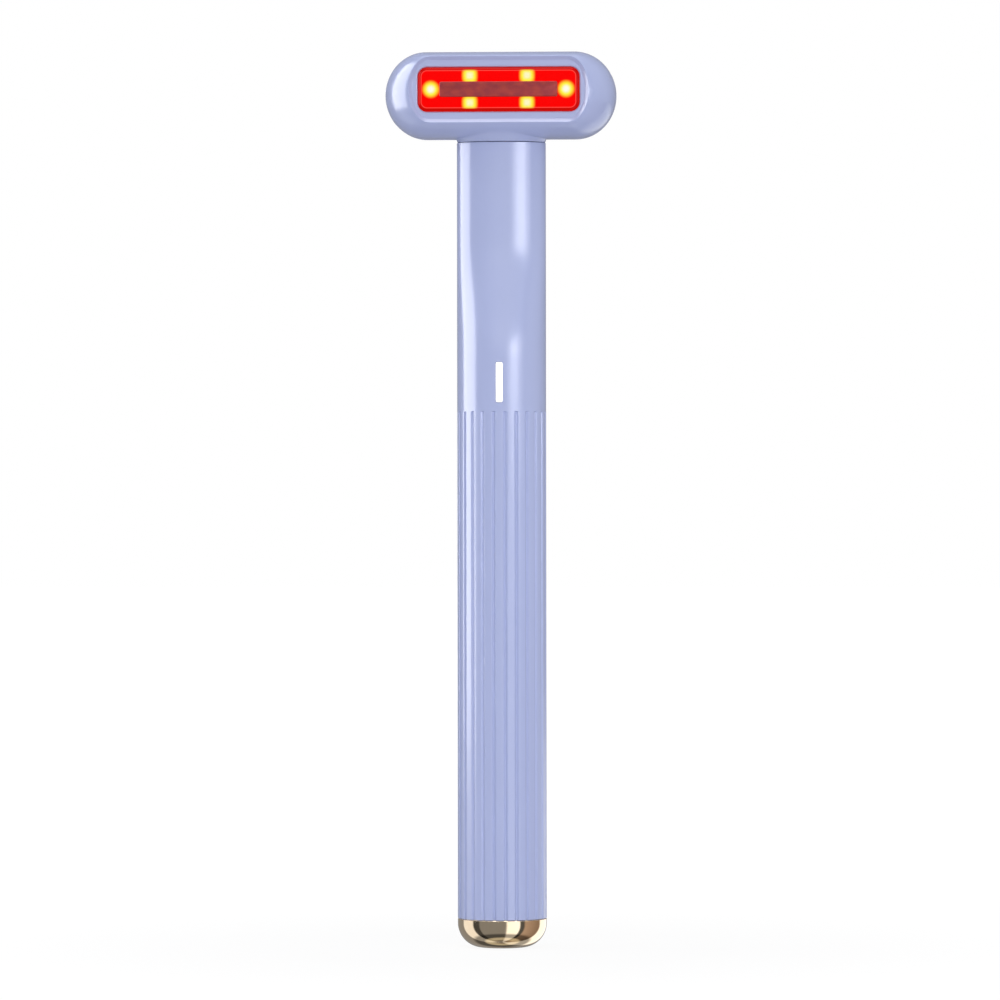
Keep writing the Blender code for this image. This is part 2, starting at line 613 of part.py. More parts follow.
# Base cap, its seal and the charging socket
def make_base():
    seal_top_z = CAP_HEIGHT + (SPIGOT_LENGTH + SEAL_GROOVE_WIDTH) / 2
    seal_bottom_z = seal_top_z - SEAL_GROOVE_WIDTH
    foot_radius = BARREL_RADIUS - CAP_CORNER_RADIUS
    profile = [
        (0, CAP_FLOOR),
        (CAP_CAVITY_RADIUS, CAP_FLOOR),
        (CAP_CAVITY_RADIUS, SPIGOT_TOP_Z),
        (SPIGOT_RADIUS, SPIGOT_TOP_Z),
        (SPIGOT_RADIUS, seal_top_z),
        (SPIGOT_RADIUS - SEAL_GROOVE_DEPTH, seal_top_z),
        (SPIGOT_RADIUS - SEAL_GROOVE_DEPTH, seal_bottom_z),
        (SPIGOT_RADIUS, seal_bottom_z),
        (SPIGOT_RADIUS, CAP_HEIGHT),
        (BARREL_RADIUS, CAP_HEIGHT),
    ]
    corner = CAP_CORNER_RADIUS
    profile += arc(foot_radius, corner, corner, corner, 0, -math.pi / 2, CAP_CORNER_STEPS)
    profile.append((0, 0))
    cap = turned("base_cap", profile, wand, CAP_STEPS)
    mouth = outline(
        "port mouth cutter",
        [oblong(PORT_WIDTH + 2 * SEAT_GAP, PORT_DEPTH + 2 * SEAT_GAP)],
        2 * (CAP_FLOOR + OVERRUN),
        (0, 0, 0),
        UPRIGHT,
        cutters,
    )
    finished(boolean(cap, "DIFFERENCE", mouth), "polished gold", handle)

    seal_centre = SPIGOT_RADIUS - SEAL_GROOVE_DEPTH + RUN_GAP / 2 + SEAL_RADIUS
    seal_z = (seal_top_z + seal_bottom_z) / 2
    ring = arc(seal_centre, seal_z, SEAL_RADIUS, SEAL_RADIUS, math.pi / 2, -1.5 * math.pi, SEAL_STEPS)
    finished(turned("base_seal", ring[:-1], wand, closed=True), "black rubber", handle)

    port_centre = (0, 0, (PORT_RECESS + PORT_TOP_Z) / 2)
    inner_width, inner_depth = PORT_WIDTH - 2 * PORT_WALL, PORT_DEPTH - 2 * PORT_WALL
    port = outline(
        "charge_port",
        [oblong(PORT_WIDTH, PORT_DEPTH), oblong(inner_width, inner_depth)],
        PORT_TOP_Z - PORT_RECESS,
        port_centre,
        UPRIGHT,
        wand,
    )
    finished(port, "steel", handle)
    tongue = outline(
        "port_tongue",
        [oblong(inner_width - 2 * RUN_GAP, inner_depth - 2 * RUN_GAP)],
        TONGUE_BLOCK,
        (0, 0, PORT_TOP_Z - TONGUE_BLOCK / 2),
        UPRIGHT,
        wand,
    )
    blade = box(
        "tongue blade",
        (-TONGUE_WIDTH / 2, -TONGUE_THICKNESS / 2, 2 * PORT_RECESS),
        (TONGUE_WIDTH / 2, TONGUE_THICKNESS / 2, PORT_TOP_Z - TONGUE_BLOCK + SINK),
        cutters,
    )
    finished(boolean(tongue, "UNION", blade), "black plastic", handle)

    board = rod(
        "port_board", PORT_BOARD_RADIUS, (0, 0, PORT_BOARD_BOTTOM_Z), (0, 0, PORT_BOARD_TOP_Z), wand
    )
    finished(board, "green board", handle)
    contact_back = CAP_CAVITY_RADIUS - SEAT_GAP
    contact = box(
        "cap_contact",
        (-CAP_CONTACT_WIDTH / 2, contact_back - CAP_CONTACT_THICKNESS, PORT_TOP_Z - CAP_CONTACT_LENGTH),
        (CAP_CONTACT_WIDTH / 2, contact_back, PORT_TOP_Z),
        wand,
    )
    finished(contact, "brass", handle)


# Frame, battery and boards inside the barrel
def make_chassis():
    outer_angle = math.asin(CHASSIS_FRONT_Y / SPIGOT_RADIUS)
    inner_angle = math.asin(CHASSIS_FRONT_Y / CHASSIS_INNER_RADIUS)
    steps = CHASSIS_STEPS
    section = arc(0, 0, SPIGOT_RADIUS, SPIGOT_RADIUS, outer_angle, math.pi - outer_angle, steps)
    section += arc(
        0, 0, CHASSIS_INNER_RADIUS, CHASSIS_INNER_RADIUS, math.pi - inner_angle, inner_angle, steps
    )
    chassis = outline(
        "inner_chassis",
        [section],
        CHASSIS_TOP_Z - BOARD_BOTTOM_Z,
        (0, 0, (CHASSIS_TOP_Z + BOARD_BOTTOM_Z) / 2),
        UPRIGHT,
        wand,
    )
    bridges = (
        ("lower bridge", LOWER_BRIDGE_Z, SCREW_BRIDGE_LENGTH),
        ("battery bridge", BATTERY_BRIDGE_Z, BATTERY_BRIDGE_LENGTH),
        ("upper bridge", UPPER_BRIDGE_Z, SCREW_BRIDGE_LENGTH),
    )
    for name, z, length in bridges:
        low = (-BRIDGE_HALF_WIDTH, BRIDGE_FRONT_Y, z - length / 2)
        high = (BRIDGE_HALF_WIDTH, BRIDGE_FRONT_Y + BRIDGE_DEPTH, z + length / 2)
        boolean(chassis, "UNION", box(name, low, high, cutters))
    for name, z in (("lower pilot hole", LOWER_BRIDGE_Z), ("upper pilot hole", UPPER_BRIDGE_Z)):
        start = (0, BRIDGE_FRONT_Y - OVERRUN, z)
        end = (0, BRIDGE_FRONT_Y + BRIDGE_DEPTH + OVERRUN, z)
        hole = rod(name, SCREW_RADIUS + RUN_GAP, start, end, cutters, SMALL_STEPS)
        boolean(chassis, "DIFFERENCE", hole)
    finished(chassis, "black plastic", handle)


def make_battery():
    start = (0, BATTERY_Y, BATTERY_BOTTOM_Z)
    cell = rod("battery_cell", BATTERY_RADIUS, start, (0, BATTERY_Y, BATTERY_TOP_Z), wand)
    edge = cell.modifiers.new("rolled edge", "BEVEL")
    edge.width = BATTERY_EDGE
    edge.segments = 2
    finished(cell, "battery film", handle)
    tabs = (
        ("battery_tab_lower", BATTERY_BOTTOM_Z - RUN_GAP - TAB_THICKNESS),
        ("battery_tab_upper", BATTERY_TOP_Z + RUN_GAP),
    )
    for name, z in tabs:
        low = (-TAB_HALF_WIDTH, CHASSIS_FRONT_Y + SEAT_GAP, z)
        high = (TAB_HALF_WIDTH, BATTERY_Y + TAB_HALF_WIDTH, z + TAB_THICKNESS)
        finished(box(name, low, high, wand), "steel", handle)


def make_board_screw(name, z):
    head_back = BOARD_FRONT_Y - SEAT_GAP
    head_front = head_back - SCREW_HEAD_THICKNESS
    screw = rod(name, SCREW_HEAD_RADIUS, (0, head_front, z), (0, head_back, z), wand, SMALL_STEPS)
    start, end = (0, head_back - SINK, z), (0, head_back + SCREW_LENGTH, z)
    shank = rod(f"{name} shank", SCREW_RADIUS, start, end, cutters, SMALL_STEPS)
    finished(boolean(screw, "UNION", shank), "steel", handle)


def back_of_board(name, width, height, thickness, x, z, finish):
    low = (x - width / 2, BOARD_BACK_Y + RUN_GAP, z - height / 2)
    high = (x + width / 2, BOARD_BACK_Y + RUN_GAP + thickness, z + height / 2)
    finished(box(name, low, high, wand), finish, handle)


def make_main_board():
    board = box(
        "main_board",
        (-BOARD_HALF_WIDTH, BOARD_FRONT_Y, BOARD_BOTTOM_Z),
        (BOARD_HALF_WIDTH, BOARD_BACK_Y, BOARD_TOP_Z),
        wand,
    )
    for number, z in enumerate((LOWER_BRIDGE_Z, UPPER_BRIDGE_Z), 1):
        start, end = (0, BOARD_FRONT_Y - OVERRUN, z), (0, BOARD_BACK_Y + OVERRUN, z)
        hole = rod(f"board hole {number}", SCREW_RADIUS + RUN_GAP, start, end, cutters, SMALL_STEPS)
        boolean(board, "DIFFERENCE", hole)
        make_board_screw(f"board_screw_{number}", z)
    finished(board, "green board", handle)

    chip = (CHIP_THICKNESS, 0)
    back_of_board("charger_chip", CHARGER_CHIP_SIZE, CHARGER_CHIP_SIZE, *chip, CHARGER_CHIP_Z, "black chip")
    back_of_board(
        "controller_chip", CONTROLLER_CHIP_SIZE, CONTROLLER_CHIP_SIZE, *chip, CONTROLLER_CHIP_Z, "black chip"
    )
    for name, x in (("capacitor_1", -CAPACITOR_PLACE), ("capacitor_2", CAPACITOR_PLACE)):
        size = (CAPACITOR_WIDTH, CAPACITOR_HEIGHT, CAPACITOR_THICKNESS)
        back_of_board(name, *size, x, CAPACITOR_Z, "ceramic")
    coil_front = BOARD_BACK_Y + RUN_GAP
    start, end = (0, coil_front, COIL_Z), (0, coil_front + COIL_THICKNESS, COIL_Z)
    coil = rod("boost_coil", COIL_RADIUS, start, end, wand)
    finished(coil, "copper", handle)
    depth = CONNECTOR_BACK - coil_front
    back_of_board("board_connector", CONNECTOR_WIDTH, CONNECTOR_HEIGHT, depth, 0, CONNECTOR_Z, "white nylon")


def make_leads():
    bottom = CONNECTOR_Z + CONNECTOR_HEIGHT / 2 + SEAT_GAP
    leads = rod("lead_bundle", LEAD_RADIUS, (0, 0, bottom), (0, 0, LEAD_TOP_Z), wand, SMALL_STEPS)
    finished(leads, "lead", handle)


# Lit power key, its switch and its two lamps
def make_power_key():
    bar_depth = KEY_FLANGE_BACK_Y - KEY_FRONT_Y
    key = outline(
        "power_button",
        [oblong(KEY_WIDTH, KEY_LENGTH)],
        bar_depth,
        (0, KEY_FRONT_Y + bar_depth / 2, KEY_Z),
        FACING_FRONT,
        wand,
    )
    flange = box(
        "key flange",
        (-KEY_FLANGE_WIDTH / 2, KEY_FLANGE_FRONT_Y, KEY_Z - KEY_FLANGE_LENGTH / 2),
        (KEY_FLANGE_WIDTH / 2, KEY_FLANGE_BACK_Y, KEY_Z + KEY_FLANGE_LENGTH / 2),
        cutters,
    )
    finished(boolean(key, "UNION", flange), "white key", button)
    start, end = (0, PLUNGER_FRONT_Y, KEY_Z), (0, PLUNGER_FRONT_Y + PLUNGER_LENGTH, KEY_Z)
    finished(rod("switch_plunger", PLUNGER_RADIUS, start, end, wand, SMALL_STEPS), "black plastic", button)

    body = box(
        "switch_body",
        (-SWITCH_WIDTH / 2, SWITCH_FRONT_Y, KEY_Z - SWITCH_HEIGHT / 2),
        (SWITCH_WIDTH / 2, SWITCH_BACK_Y, KEY_Z + SWITCH_HEIGHT / 2),
        wand,
    )
    start, end = (0, SWITCH_FRONT_Y - OVERRUN, KEY_Z), (0, SWITCH_BACK_Y + OVERRUN, KEY_Z)
    well = rod("plunger well", PLUNGER_RADIUS + RUN_GAP, start, end, cutters, SMALL_STEPS)
    finished(boolean(body, "DIFFERENCE", well), "steel", handle)
    for name, side in (("indicator_led_1", -1), ("indicator_led_2", 1)):
        z, half = KEY_Z + side * INDICATOR_PLACE, INDICATOR_SIZE / 2
        low = (-half, SWITCH_BACK_Y - INDICATOR_THICKNESS, z - half)
        finished(box(name, low, (half, SWITCH_BACK_Y, z + half), wand), "lamp", handle)


# Head swivel
def make_swivel():
    bushing_bore = PIVOT_RADIUS + RUN_GAP
    bushing_radius = NECK_BORE_RADIUS - RUN_GAP
    bushing = [
        (BUSHING_FLANGE_RADIUS, BUSHING_FLANGE_Z + BUSHING_FLANGE_THICKNESS),
        (BUSHING_FLANGE_RADIUS, BUSHING_FLANGE_Z),
        (bushing_radius, BUSHING_FLANGE_Z),
        (bushing_radius, BUSHING_BOTTOM_Z),
        (bushing_bore, BUSHING_BOTTOM_Z),
        (bushing_bore, BUSHING_FLANGE_Z + BUSHING_FLANGE_THICKNESS),
    ]
    finished(turned("pivot_bushing", bushing, wand, closed=True), "white nylon", handle)

    groove_radius = PIVOT_RADIUS - CLIP_GROOVE_DEPTH
    groove_top, groove_bottom = CLIP_TOP_Z + CLIP_GROOVE_MARGIN, CLIP_BOTTOM_Z - CLIP_GROOVE_MARGIN
    tube = [
        (PIVOT_RADIUS, PIVOT_TOP_Z),
        (PIVOT_RADIUS, groove_top),
        (groove_radius, groove_top),
        (groove_radius, groove_bottom),
        (PIVOT_RADIUS, groove_bottom),
        (PIVOT_RADIUS, PIVOT_BOTTOM_Z),
        (PIVOT_BORE_RADIUS, PIVOT_BOTTOM_Z),
        (PIVOT_BORE_RADIUS, PIVOT_TOP_Z),
    ]
    pivot = turned("pivot_tube", tube, wand, closed=True)
    square = (2 * PIVOT_FLANGE_HALF, 2 * PIVOT_FLANGE_HALF, PIVOT_FLANGE_CORNER)
    hole = arc(0, 0, PIVOT_RADIUS - SINK, PIVOT_RADIUS - SINK, 0, 2 * math.pi, ROUND_STEPS)[:-1]
    flange = outline(
        "pivot flange",
        [rounded_rectangle(*square), hole],
        PIVOT_FLANGE_THICKNESS,
        (0, 0, (PIVOT_FLANGE_BOTTOM_Z + PIVOT_FLANGE_TOP_Z) / 2),
        UPRIGHT,
        cutters,
    )
    finished(boolean(pivot, "UNION", flange), "brass", head)

    washer = [
        (STOP_RING_RADIUS, WASHER_TOP_Z),
        (STOP_RING_RADIUS, WASHER_BOTTOM_Z),
        (bushing_bore, WASHER_BOTTOM_Z),
        (bushing_bore, WASHER_TOP_Z),
    ]
    finished(turned("friction_washer", washer, wand, closed=True), "steel", head)

    ring_profile = [
        (STOP_RING_RADIUS, STOP_RING_TOP_Z),
        (STOP_RING_RADIUS, STOP_RING_BOTTOM_Z),
        (bushing_bore, STOP_RING_BOTTOM_Z),
        (bushing_bore, STOP_RING_TOP_Z),
    ]
    ring = turned("stop_ring", ring_profile, wand, closed=True)
    tab_root = (bushing_bore + STOP_RING_RADIUS) / 2
    tab = outline(
        "stop tab",
        [sector(tab_root, bushing_radius, -math.pi / 2, STOP_TAB_HALF_ANGLE)],
        STOP_RING_THICKNESS,
        (0, 0, (STOP_RING_TOP_Z + STOP_RING_BOTTOM_Z) / 2),
        UPRIGHT,
        cutters,
    )
    finished(boolean(ring, "UNION", tab), "steel", head)

    clip_inner = groove_radius + WINDOW_GAP
    clip_section = sector(clip_inner, clip_inner + CLIP_WIDTH, math.pi / 2, math.pi - CLIP_MOUTH_ANGLE / 2)
    clip = outline(
        "pivot_clip",
        [clip_section],
        CLIP_THICKNESS,
        (0, 0, (CLIP_TOP_Z + CLIP_BOTTOM_Z) / 2),
        UPRIGHT,
        wand,
    )
    finished(clip, "steel", head)


# Head casing
def head_sections(inset):
    # Half width, half height, end radius, rise and y of each section, front to back
    wide, high = HEAD_WIDTH / 2, HEAD_HEIGHT / 2
    edge = math.sin(FACE_EDGE_ANGLE)
    sections = []
    for i in range(FRONT_ROUND_STEPS + 1):
        turn = FACE_EDGE_ANGLE + i / FRONT_ROUND_STEPS * (math.pi / 2 - FACE_EDGE_ANGLE)
        grown = (math.sin(turn) - edge) / (1 - edge)
        fallen = 1 - math.cos(turn) / math.cos(FACE_EDGE_ANGLE)
        y = FRONT_Y + inset + (FRONT_ROUND_DEPTH - inset) * fallen
        sections.append(
            (
                FACE_HALF_WIDTH + (wide - FACE_HALF_WIDTH) * grown - inset,
                FACE_HALF_HEIGHT + (high - FACE_HALF_HEIGHT) * grown - inset,
                FACE_END_RADIUS + (END_RADIUS - FACE_END_RADIUS) * grown - inset,
                FACE_RISE * (1 - grown),
                y,
            )
        )
    for i in range(BACK_ROUND_STEPS, -1, -1):
        turn = i / BACK_ROUND_STEPS * math.pi / 2
        grown = math.sin(turn)
        y = BACK_Y - inset - (BACK_ROUND_DEPTH - inset) * (1 - math.cos(turn))
        sections.append(
            (
                REAR_HALF_WIDTH + (wide - REAR_HALF_WIDTH) * grown - inset,
                REAR_HALF_HEIGHT + (high - REAR_HALF_HEIGHT) * grown - inset,
                REAR_END_RADIUS + (END_RADIUS - REAR_END_RADIUS) * grown - inset,
                0,
                y,
            )
        )
    return sections


def head_form(name, inset, collection):
    # Lofts the sections, whose ends are half ellipses
    rings = []
    for wide, high, end, rise, y in head_sections(inset):
        right = arc(wide - end, 0, end, high, -math.pi / 2, math.pi / 2, END_STEPS)
        points = right + [(-x, -z) for x, z in right]
        rings.append([(x, y, HEAD_CENTRE_Z + rise + z) for x, z in points])
    return loft(name, rings, collection)


def collar_ring(front_reach, z):
    # Round like the barrel behind, a half ellipse in front like the top of the neck
    back = arc(0, 0, BARREL_RADIUS, BARREL_RADIUS, 0, math.pi, BARREL_STEPS // 2)
    front = arc(0, 0, BARREL_RADIUS, front_reach, math.pi, 2 * math.pi, SCOOP_SIDE_STEPS)
    return [(x, y, z) for x, y in back + front[1:-1]]


def collar(name):
    low = collar_ring(COLLAR_FRONT_REACH, COLLAR_BOTTOM_Z)
    high = collar_ring(COLLAR_FRONT_REACH + COLLAR_FLARE, COLLAR_BOTTOM_Z + COLLAR_REACH)
    return loft(name, [low, high], cutters)


def key_rib(name, side):
    near = PIVOT_FLANGE_HALF + RUN_GAP
    ends = sorted((side * near, side * (near + KEY_RIB_THICKNESS)))
    low = (-KEY_RIB_HALF_WIDTH, ends[0], HEAD_FLOOR_Z - SINK)
    high = (KEY_RIB_HALF_WIDTH, ends[1], PIVOT_FLANGE_TOP_Z)
    return box(name, low, high, cutters)


def make_front_shell(hollow, flange_seat, pivot_hole):
    shell = head_form("head_front_shell", 0, wand)
    boolean(shell, "UNION", collar("front collar"))
    boolean(shell, "DIFFERENCE", hollow, flange_seat)
    boolean(shell, "UNION", key_rib("front key rib", -1))
    far = HEAD_WIDTH
    rear_half = box("rear half", (-far, -SEAM_GAP / 2, 0), (far, far, TOTAL_HEIGHT + OVERRUN), cutters)
    window_hole = outline(
        "window hole",
        [window_outline(WINDOW_GAP)],
        HEAD_WALL + 2 * OVERRUN,
        (0, (FRONT_Y + WALL_BACK_Y) / 2, FACE_CENTRE_Z),
        FACING_FRONT,
        cutters,
    )
    gasket_pocket = outline(
        "gasket pocket",
        [window_outline(LENS_FLANGE + SEAT_GAP)],
        FLANGE_BACK_Y - WALL_BACK_Y,
        (0, (FLANGE_BACK_Y + WALL_BACK_Y) / 2, FACE_CENTRE_Z),
        FACING_FRONT,
        cutters,
    )
    boolean(shell, "DIFFERENCE", rear_half, pivot_hole, window_hole, gasket_pocket)
    inner_height = HEAD_HEIGHT / 2 - HEAD_WALL
    for x in (-HOOK_PLACE, HOOK_PLACE):
        for side in (-1, 1):
            name = f"hook {'left' if x < 0 else 'right'} {'below' if side < 0 else 'above'}"
            tip = HEAD_CENTRE_Z + side * (inner_height - SEAT_GAP)
            heel = tip - side * HOOK_THICKNESS
            root = HEAD_CENTRE_Z + side * (inner_height + SINK)
            left, right = x - HOOK_WIDTH / 2, x + HOOK_WIDTH / 2
            blade = box(
                name,
                (left, -HOOK_ROOT_END, min(tip, heel)),
                (right, HOOK_REACH, max(tip, heel)),
                cutters,
            )
            foot = box(
                f"{name} root",
                (left, -HOOK_ROOT_END, min(root, heel)),
                (right, -HOOK_ROOT_START, max(root, heel)),
                cutters,
            )
            boolean(shell, "UNION", foot, blade)
    finished(shell, "lavender plastic", head)


def make_back_shell(hollow, flange_seat, pivot_hole):
    shell = head_form("head_back_shell", 0, wand)
    boolean(shell, "UNION", collar("back collar"))
    boolean(shell, "DIFFERENCE", hollow, flange_seat)
    boolean(shell, "UNION", key_rib("back key rib", 1))
    far = HEAD_WIDTH
    front_half = box("front half", (-far, -far, 0), (far, SEAM_GAP / 2, TOTAL_HEIGHT + OVERRUN), cutters)
    boolean(shell, "DIFFERENCE", front_half, pivot_hole)
    for name, x in (("left board post", -BOARD_POST_PLACE), ("right board post", BOARD_POST_PLACE)):
        start = (x, LED_BOARD_BACK_Y + SEAT_GAP, FACE_CENTRE_Z)
        end = (x, BACK_Y - HEAD_WALL + SINK, FACE_CENTRE_Z)
        boolean(shell, "UNION", rod(name, BOARD_POST_RADIUS, start, end, cutters, SMALL_STEPS))
    finished(shell, "lavender plastic", head)


def make_head_casing():
    hollow = head_form("head hollow", HEAD_WALL, cutters)
    start, end = (0, 0, COLLAR_BOTTOM_Z - OVERRUN), (0, 0, HEAD_FLOOR_Z + SEAT_GAP)
    pivot_hole = rod("pivot hole", PIVOT_RADIUS + RUN_GAP, start, end, cutters)
    reach = PIVOT_FLANGE_HALF + SEAT_GAP
    low, high = (-reach, -reach, HEAD_FLOOR_Z), (reach, reach, PIVOT_FLANGE_TOP_Z + SEAT_GAP)
    flange_seat = box("flange seat", low, high, cutters)
    make_front_shell(hollow, flange_seat, pivot_hole)
    make_back_shell(hollow, flange_seat, pivot_hole)


# Window, contact plate and lamps
def window_outline(grown):
    corner = max(WINDOW_CORNER + grown, WINDOW_GAP)
    return rounded_rectangle(WINDOW_WIDTH + 2 * grown, WINDOW_HEIGHT + 2 * grown, corner)


def facing_slab(name, loops, front_y, back_y, collection):
    centre = (0, (front_y + back_y) / 2, FACE_CENTRE_Z)
    return outline(name, loops, back_y - front_y, centre, FACING_FRONT, collection)


def make_window():
    lens = facing_slab("light_window", [window_outline(0)], FRONT_Y, FLANGE_BACK_Y, wand)
    flange = facing_slab(
        "lens flange", [window_outline(LENS_FLANGE)], FLANGE_FRONT_Y, FLANGE_BACK_Y, cutters
    )
    hollow = facing_slab(
        "lens hollow", [window_outline(-LENS_WALL)], FRONT_Y + LENS_SKIN, FLANGE_BACK_Y + OVERRUN, cutters
    )
    half_width, half_height = PLATE_WIDTH / 2 + RUN_GAP, PLATE_HEIGHT / 2 + RUN_GAP
    pocket = box(
        "plate pocket",
        (-half_width, FRONT_Y - OVERRUN, FACE_CENTRE_Z - half_height),
        (half_width, PLATE_POCKET_Y, FACE_CENTRE_Z + half_height),
        cutters,
    )
    boolean(lens, "UNION", flange)
    boolean(lens, "DIFFERENCE", hollow, pocket)
    for name, x in (("left post hole", -PLATE_POST_PLACE), ("right post hole", PLATE_POST_PLACE)):
        start, end = (x, FRONT_Y - OVERRUN, FACE_CENTRE_Z), (x, FRONT_Y + LENS_SKIN + OVERRUN, FACE_CENTRE_Z)
        hole = rod(name, PLATE_POST_RADIUS + RUN_GAP, start, end, cutters, SMALL_STEPS)
        boolean(lens, "DIFFERENCE", hole)
    finished(lens, "red lens", head)

    gasket = facing_slab(
        "window_gasket",
        [window_outline(LENS_FLANGE), window_outline(SEAT_GAP)],
        GASKET_FRONT_Y,
        GASKET_BACK_Y,
        wand,
    )
    finished(gasket, "black rubber", head)


def make_contact_plate():
    plate = box(
        "contact_plate",
        (-PLATE_WIDTH / 2, PLATE_FRONT_Y, FACE_CENTRE_Z - PLATE_HEIGHT / 2),
        (PLATE_WIDTH / 2, PLATE_BACK_Y, FACE_CENTRE_Z + PLATE_HEIGHT / 2),
        wand,
    )
    middle = (PLATE_FRONT_Y + PLATE_BACK_Y) / 2
    for name, x in (("left plate post", -PLATE_POST_PLACE), ("right plate post", PLATE_POST_PLACE)):
        start, end = (x, middle, FACE_CENTRE_Z), (x, LED_BACK_Y, FACE_CENTRE_Z)
        boolean(plate, "UNION", rod(name, PLATE_POST_RADIUS, start, end, cutters, SMALL_STEPS))
    finished(plate, "mauve metal", head)


def make_lamps():
    board = facing_slab(
        "led_board", [window_outline(LENS_FLANGE)], LED_BOARD_FRONT_Y, LED_BOARD_BACK_Y, wand
    )
    finished(board, "green board", head)
    places = (
        (-LED_PAIR_PLACE, LED_PAIR_RISE),
        (LED_PAIR_PLACE, LED_PAIR_RISE),
        (-LED_END_PLACE, 0),
        (LED_END_PLACE, 0),
        (-LED_PAIR_PLACE, -LED_PAIR_RISE),
        (LED_PAIR_PLACE, -LED_PAIR_RISE),
    )
    for number, (x, rise) in enumerate(places, 1):
        z, half = FACE_CENTRE_Z + rise, LED_SIZE / 2
        low = (x - half, LED_BACK_Y - LED_THICKNESS, z - half)
        high = (x + half, LED_BACK_Y, z + half)
        finished(box(f"led_{number}", low, high, wand), "lamp", head)
    connector = box(
        "head_connector",
        (-HEAD_CONNECTOR_WIDTH / 2, LED_BOARD_BACK_Y + SEAT_GAP, HEAD_CONNECTOR_BOTTOM_Z),
        (HEAD_CONNECTOR_WIDTH / 2, HEAD_CONNECTOR_BACK, HEAD_CONNECTOR_BOTTOM_Z + HEAD_CONNECTOR_HEIGHT),
        wand,
    )
    finished(connector, "white nylon", head)


# Vibration motor in the back of the head
def make_motor():
    start_x, end_x = MOTOR_END_X - MOTOR_LENGTH, MOTOR_END_X
    can = rod("motor_can", MOTOR_RADIUS, (start_x, MOTOR_Y, MOTOR_Z), (end_x, MOTOR_Y, MOTOR_Z), wand)
    finished(can, "steel", head)

    seat_radius = MOTOR_RADIUS + RUN_GAP
    half = seat_radius + CRADLE_WALL
    cradle = box(
        "motor_cradle",
        (start_x + CRADLE_INSET, MOTOR_Y - CRADLE_FRONT, MOTOR_Z - half),
        (end_x - CRADLE_INSET, BACK_Y - HEAD_WALL - SEAT_GAP, MOTOR_Z + half),
        wand,
    )
    start, end = (start_x - OVERRUN, MOTOR_Y, MOTOR_Z), (end_x + OVERRUN, MOTOR_Y, MOTOR_Z)
    seat = rod("motor seat", seat_radius, start, end, cutters)
    finished(boolean(cradle, "DIFFERENCE", seat), "black plastic", head)

    shaft_start = end_x + SEAT_GAP
    shaft_end = shaft_start + MOTOR_SHAFT_LENGTH
    start, end = (shaft_start, MOTOR_Y, MOTOR_Z), (shaft_end, MOTOR_Y, MOTOR_Z)
    shaft = rod("motor_shaft", MOTOR_SHAFT_RADIUS, start, end, wand, SMALL_STEPS)
    finished(shaft, "steel", rotor)

    weight_start = shaft_start + WEIGHT_OFFSET
    weight_end = weight_start + WEIGHT_LENGTH
    start, end = (weight_start, MOTOR_Y, MOTOR_Z), (weight_end, MOTOR_Y, MOTOR_Z)
    weight = rod("eccentric_weight", WEIGHT_RADIUS, start, end, wand)
    light_side = box(
        "light side",
        (weight_start - OVERRUN, MOTOR_Y - 2 * WEIGHT_RADIUS, MOTOR_Z + WEIGHT_HUB),
        (weight_end + OVERRUN, MOTOR_Y + 2 * WEIGHT_RADIUS, MOTOR_Z + 2 * WEIGHT_RADIUS),
        cutters,
    )
    start, end = (weight_start - OVERRUN, MOTOR_Y, MOTOR_Z), (weight_end + OVERRUN, MOTOR_Y, MOTOR_Z)
    hole = rod("weight bore", MOTOR_SHAFT_RADIUS + WINDOW_GAP, start, end, cutters, SMALL_STEPS)
    finished(boolean(weight, "DIFFERENCE", light_side, hole), "brass", rotor)


clear_scene()
wand = new_collection("red light therapy wand")
cutters = new_collection("cutters")
handle = frame_at("handle frame", Vector((0, 0, 0)))
head = frame_at("head swivel axis", Vector((0, 0, COLLAR_BOTTOM_Z)))
rotor = frame_at("motor axis", Vector((MOTOR_END_X, MOTOR_Y, MOTOR_Z)))
button = frame_at("key centre", Vector((0, KEY_FRONT_Y, KEY_Z)))

make_handle_shell()
make_base()
make_chassis()
make_battery()
make_main_board()
make_leads()
make_power_key()
make_swivel()
make_head_casing()
make_window()
make_contact_plate()
make_lamps()
make_motor()
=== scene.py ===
import json
import math

import bmesh
import bpy
from mathutils import Matrix, Vector


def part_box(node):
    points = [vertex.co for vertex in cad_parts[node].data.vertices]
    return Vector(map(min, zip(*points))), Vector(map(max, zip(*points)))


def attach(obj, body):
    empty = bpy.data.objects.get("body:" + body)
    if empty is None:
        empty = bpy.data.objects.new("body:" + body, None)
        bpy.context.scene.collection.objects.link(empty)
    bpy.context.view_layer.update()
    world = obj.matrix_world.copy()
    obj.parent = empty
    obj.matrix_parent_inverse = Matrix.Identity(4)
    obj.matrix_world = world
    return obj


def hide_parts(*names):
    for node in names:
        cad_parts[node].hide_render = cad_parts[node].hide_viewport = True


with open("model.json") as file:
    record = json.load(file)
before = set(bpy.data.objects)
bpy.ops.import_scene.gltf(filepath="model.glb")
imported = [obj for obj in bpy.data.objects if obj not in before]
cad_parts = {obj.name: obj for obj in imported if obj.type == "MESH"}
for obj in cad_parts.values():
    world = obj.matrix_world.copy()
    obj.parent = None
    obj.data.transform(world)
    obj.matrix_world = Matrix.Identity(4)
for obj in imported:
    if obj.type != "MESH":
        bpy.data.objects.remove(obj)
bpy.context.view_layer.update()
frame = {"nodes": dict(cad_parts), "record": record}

nodes = frame["nodes"]
print("frame loaded:", len(nodes), "nodes")

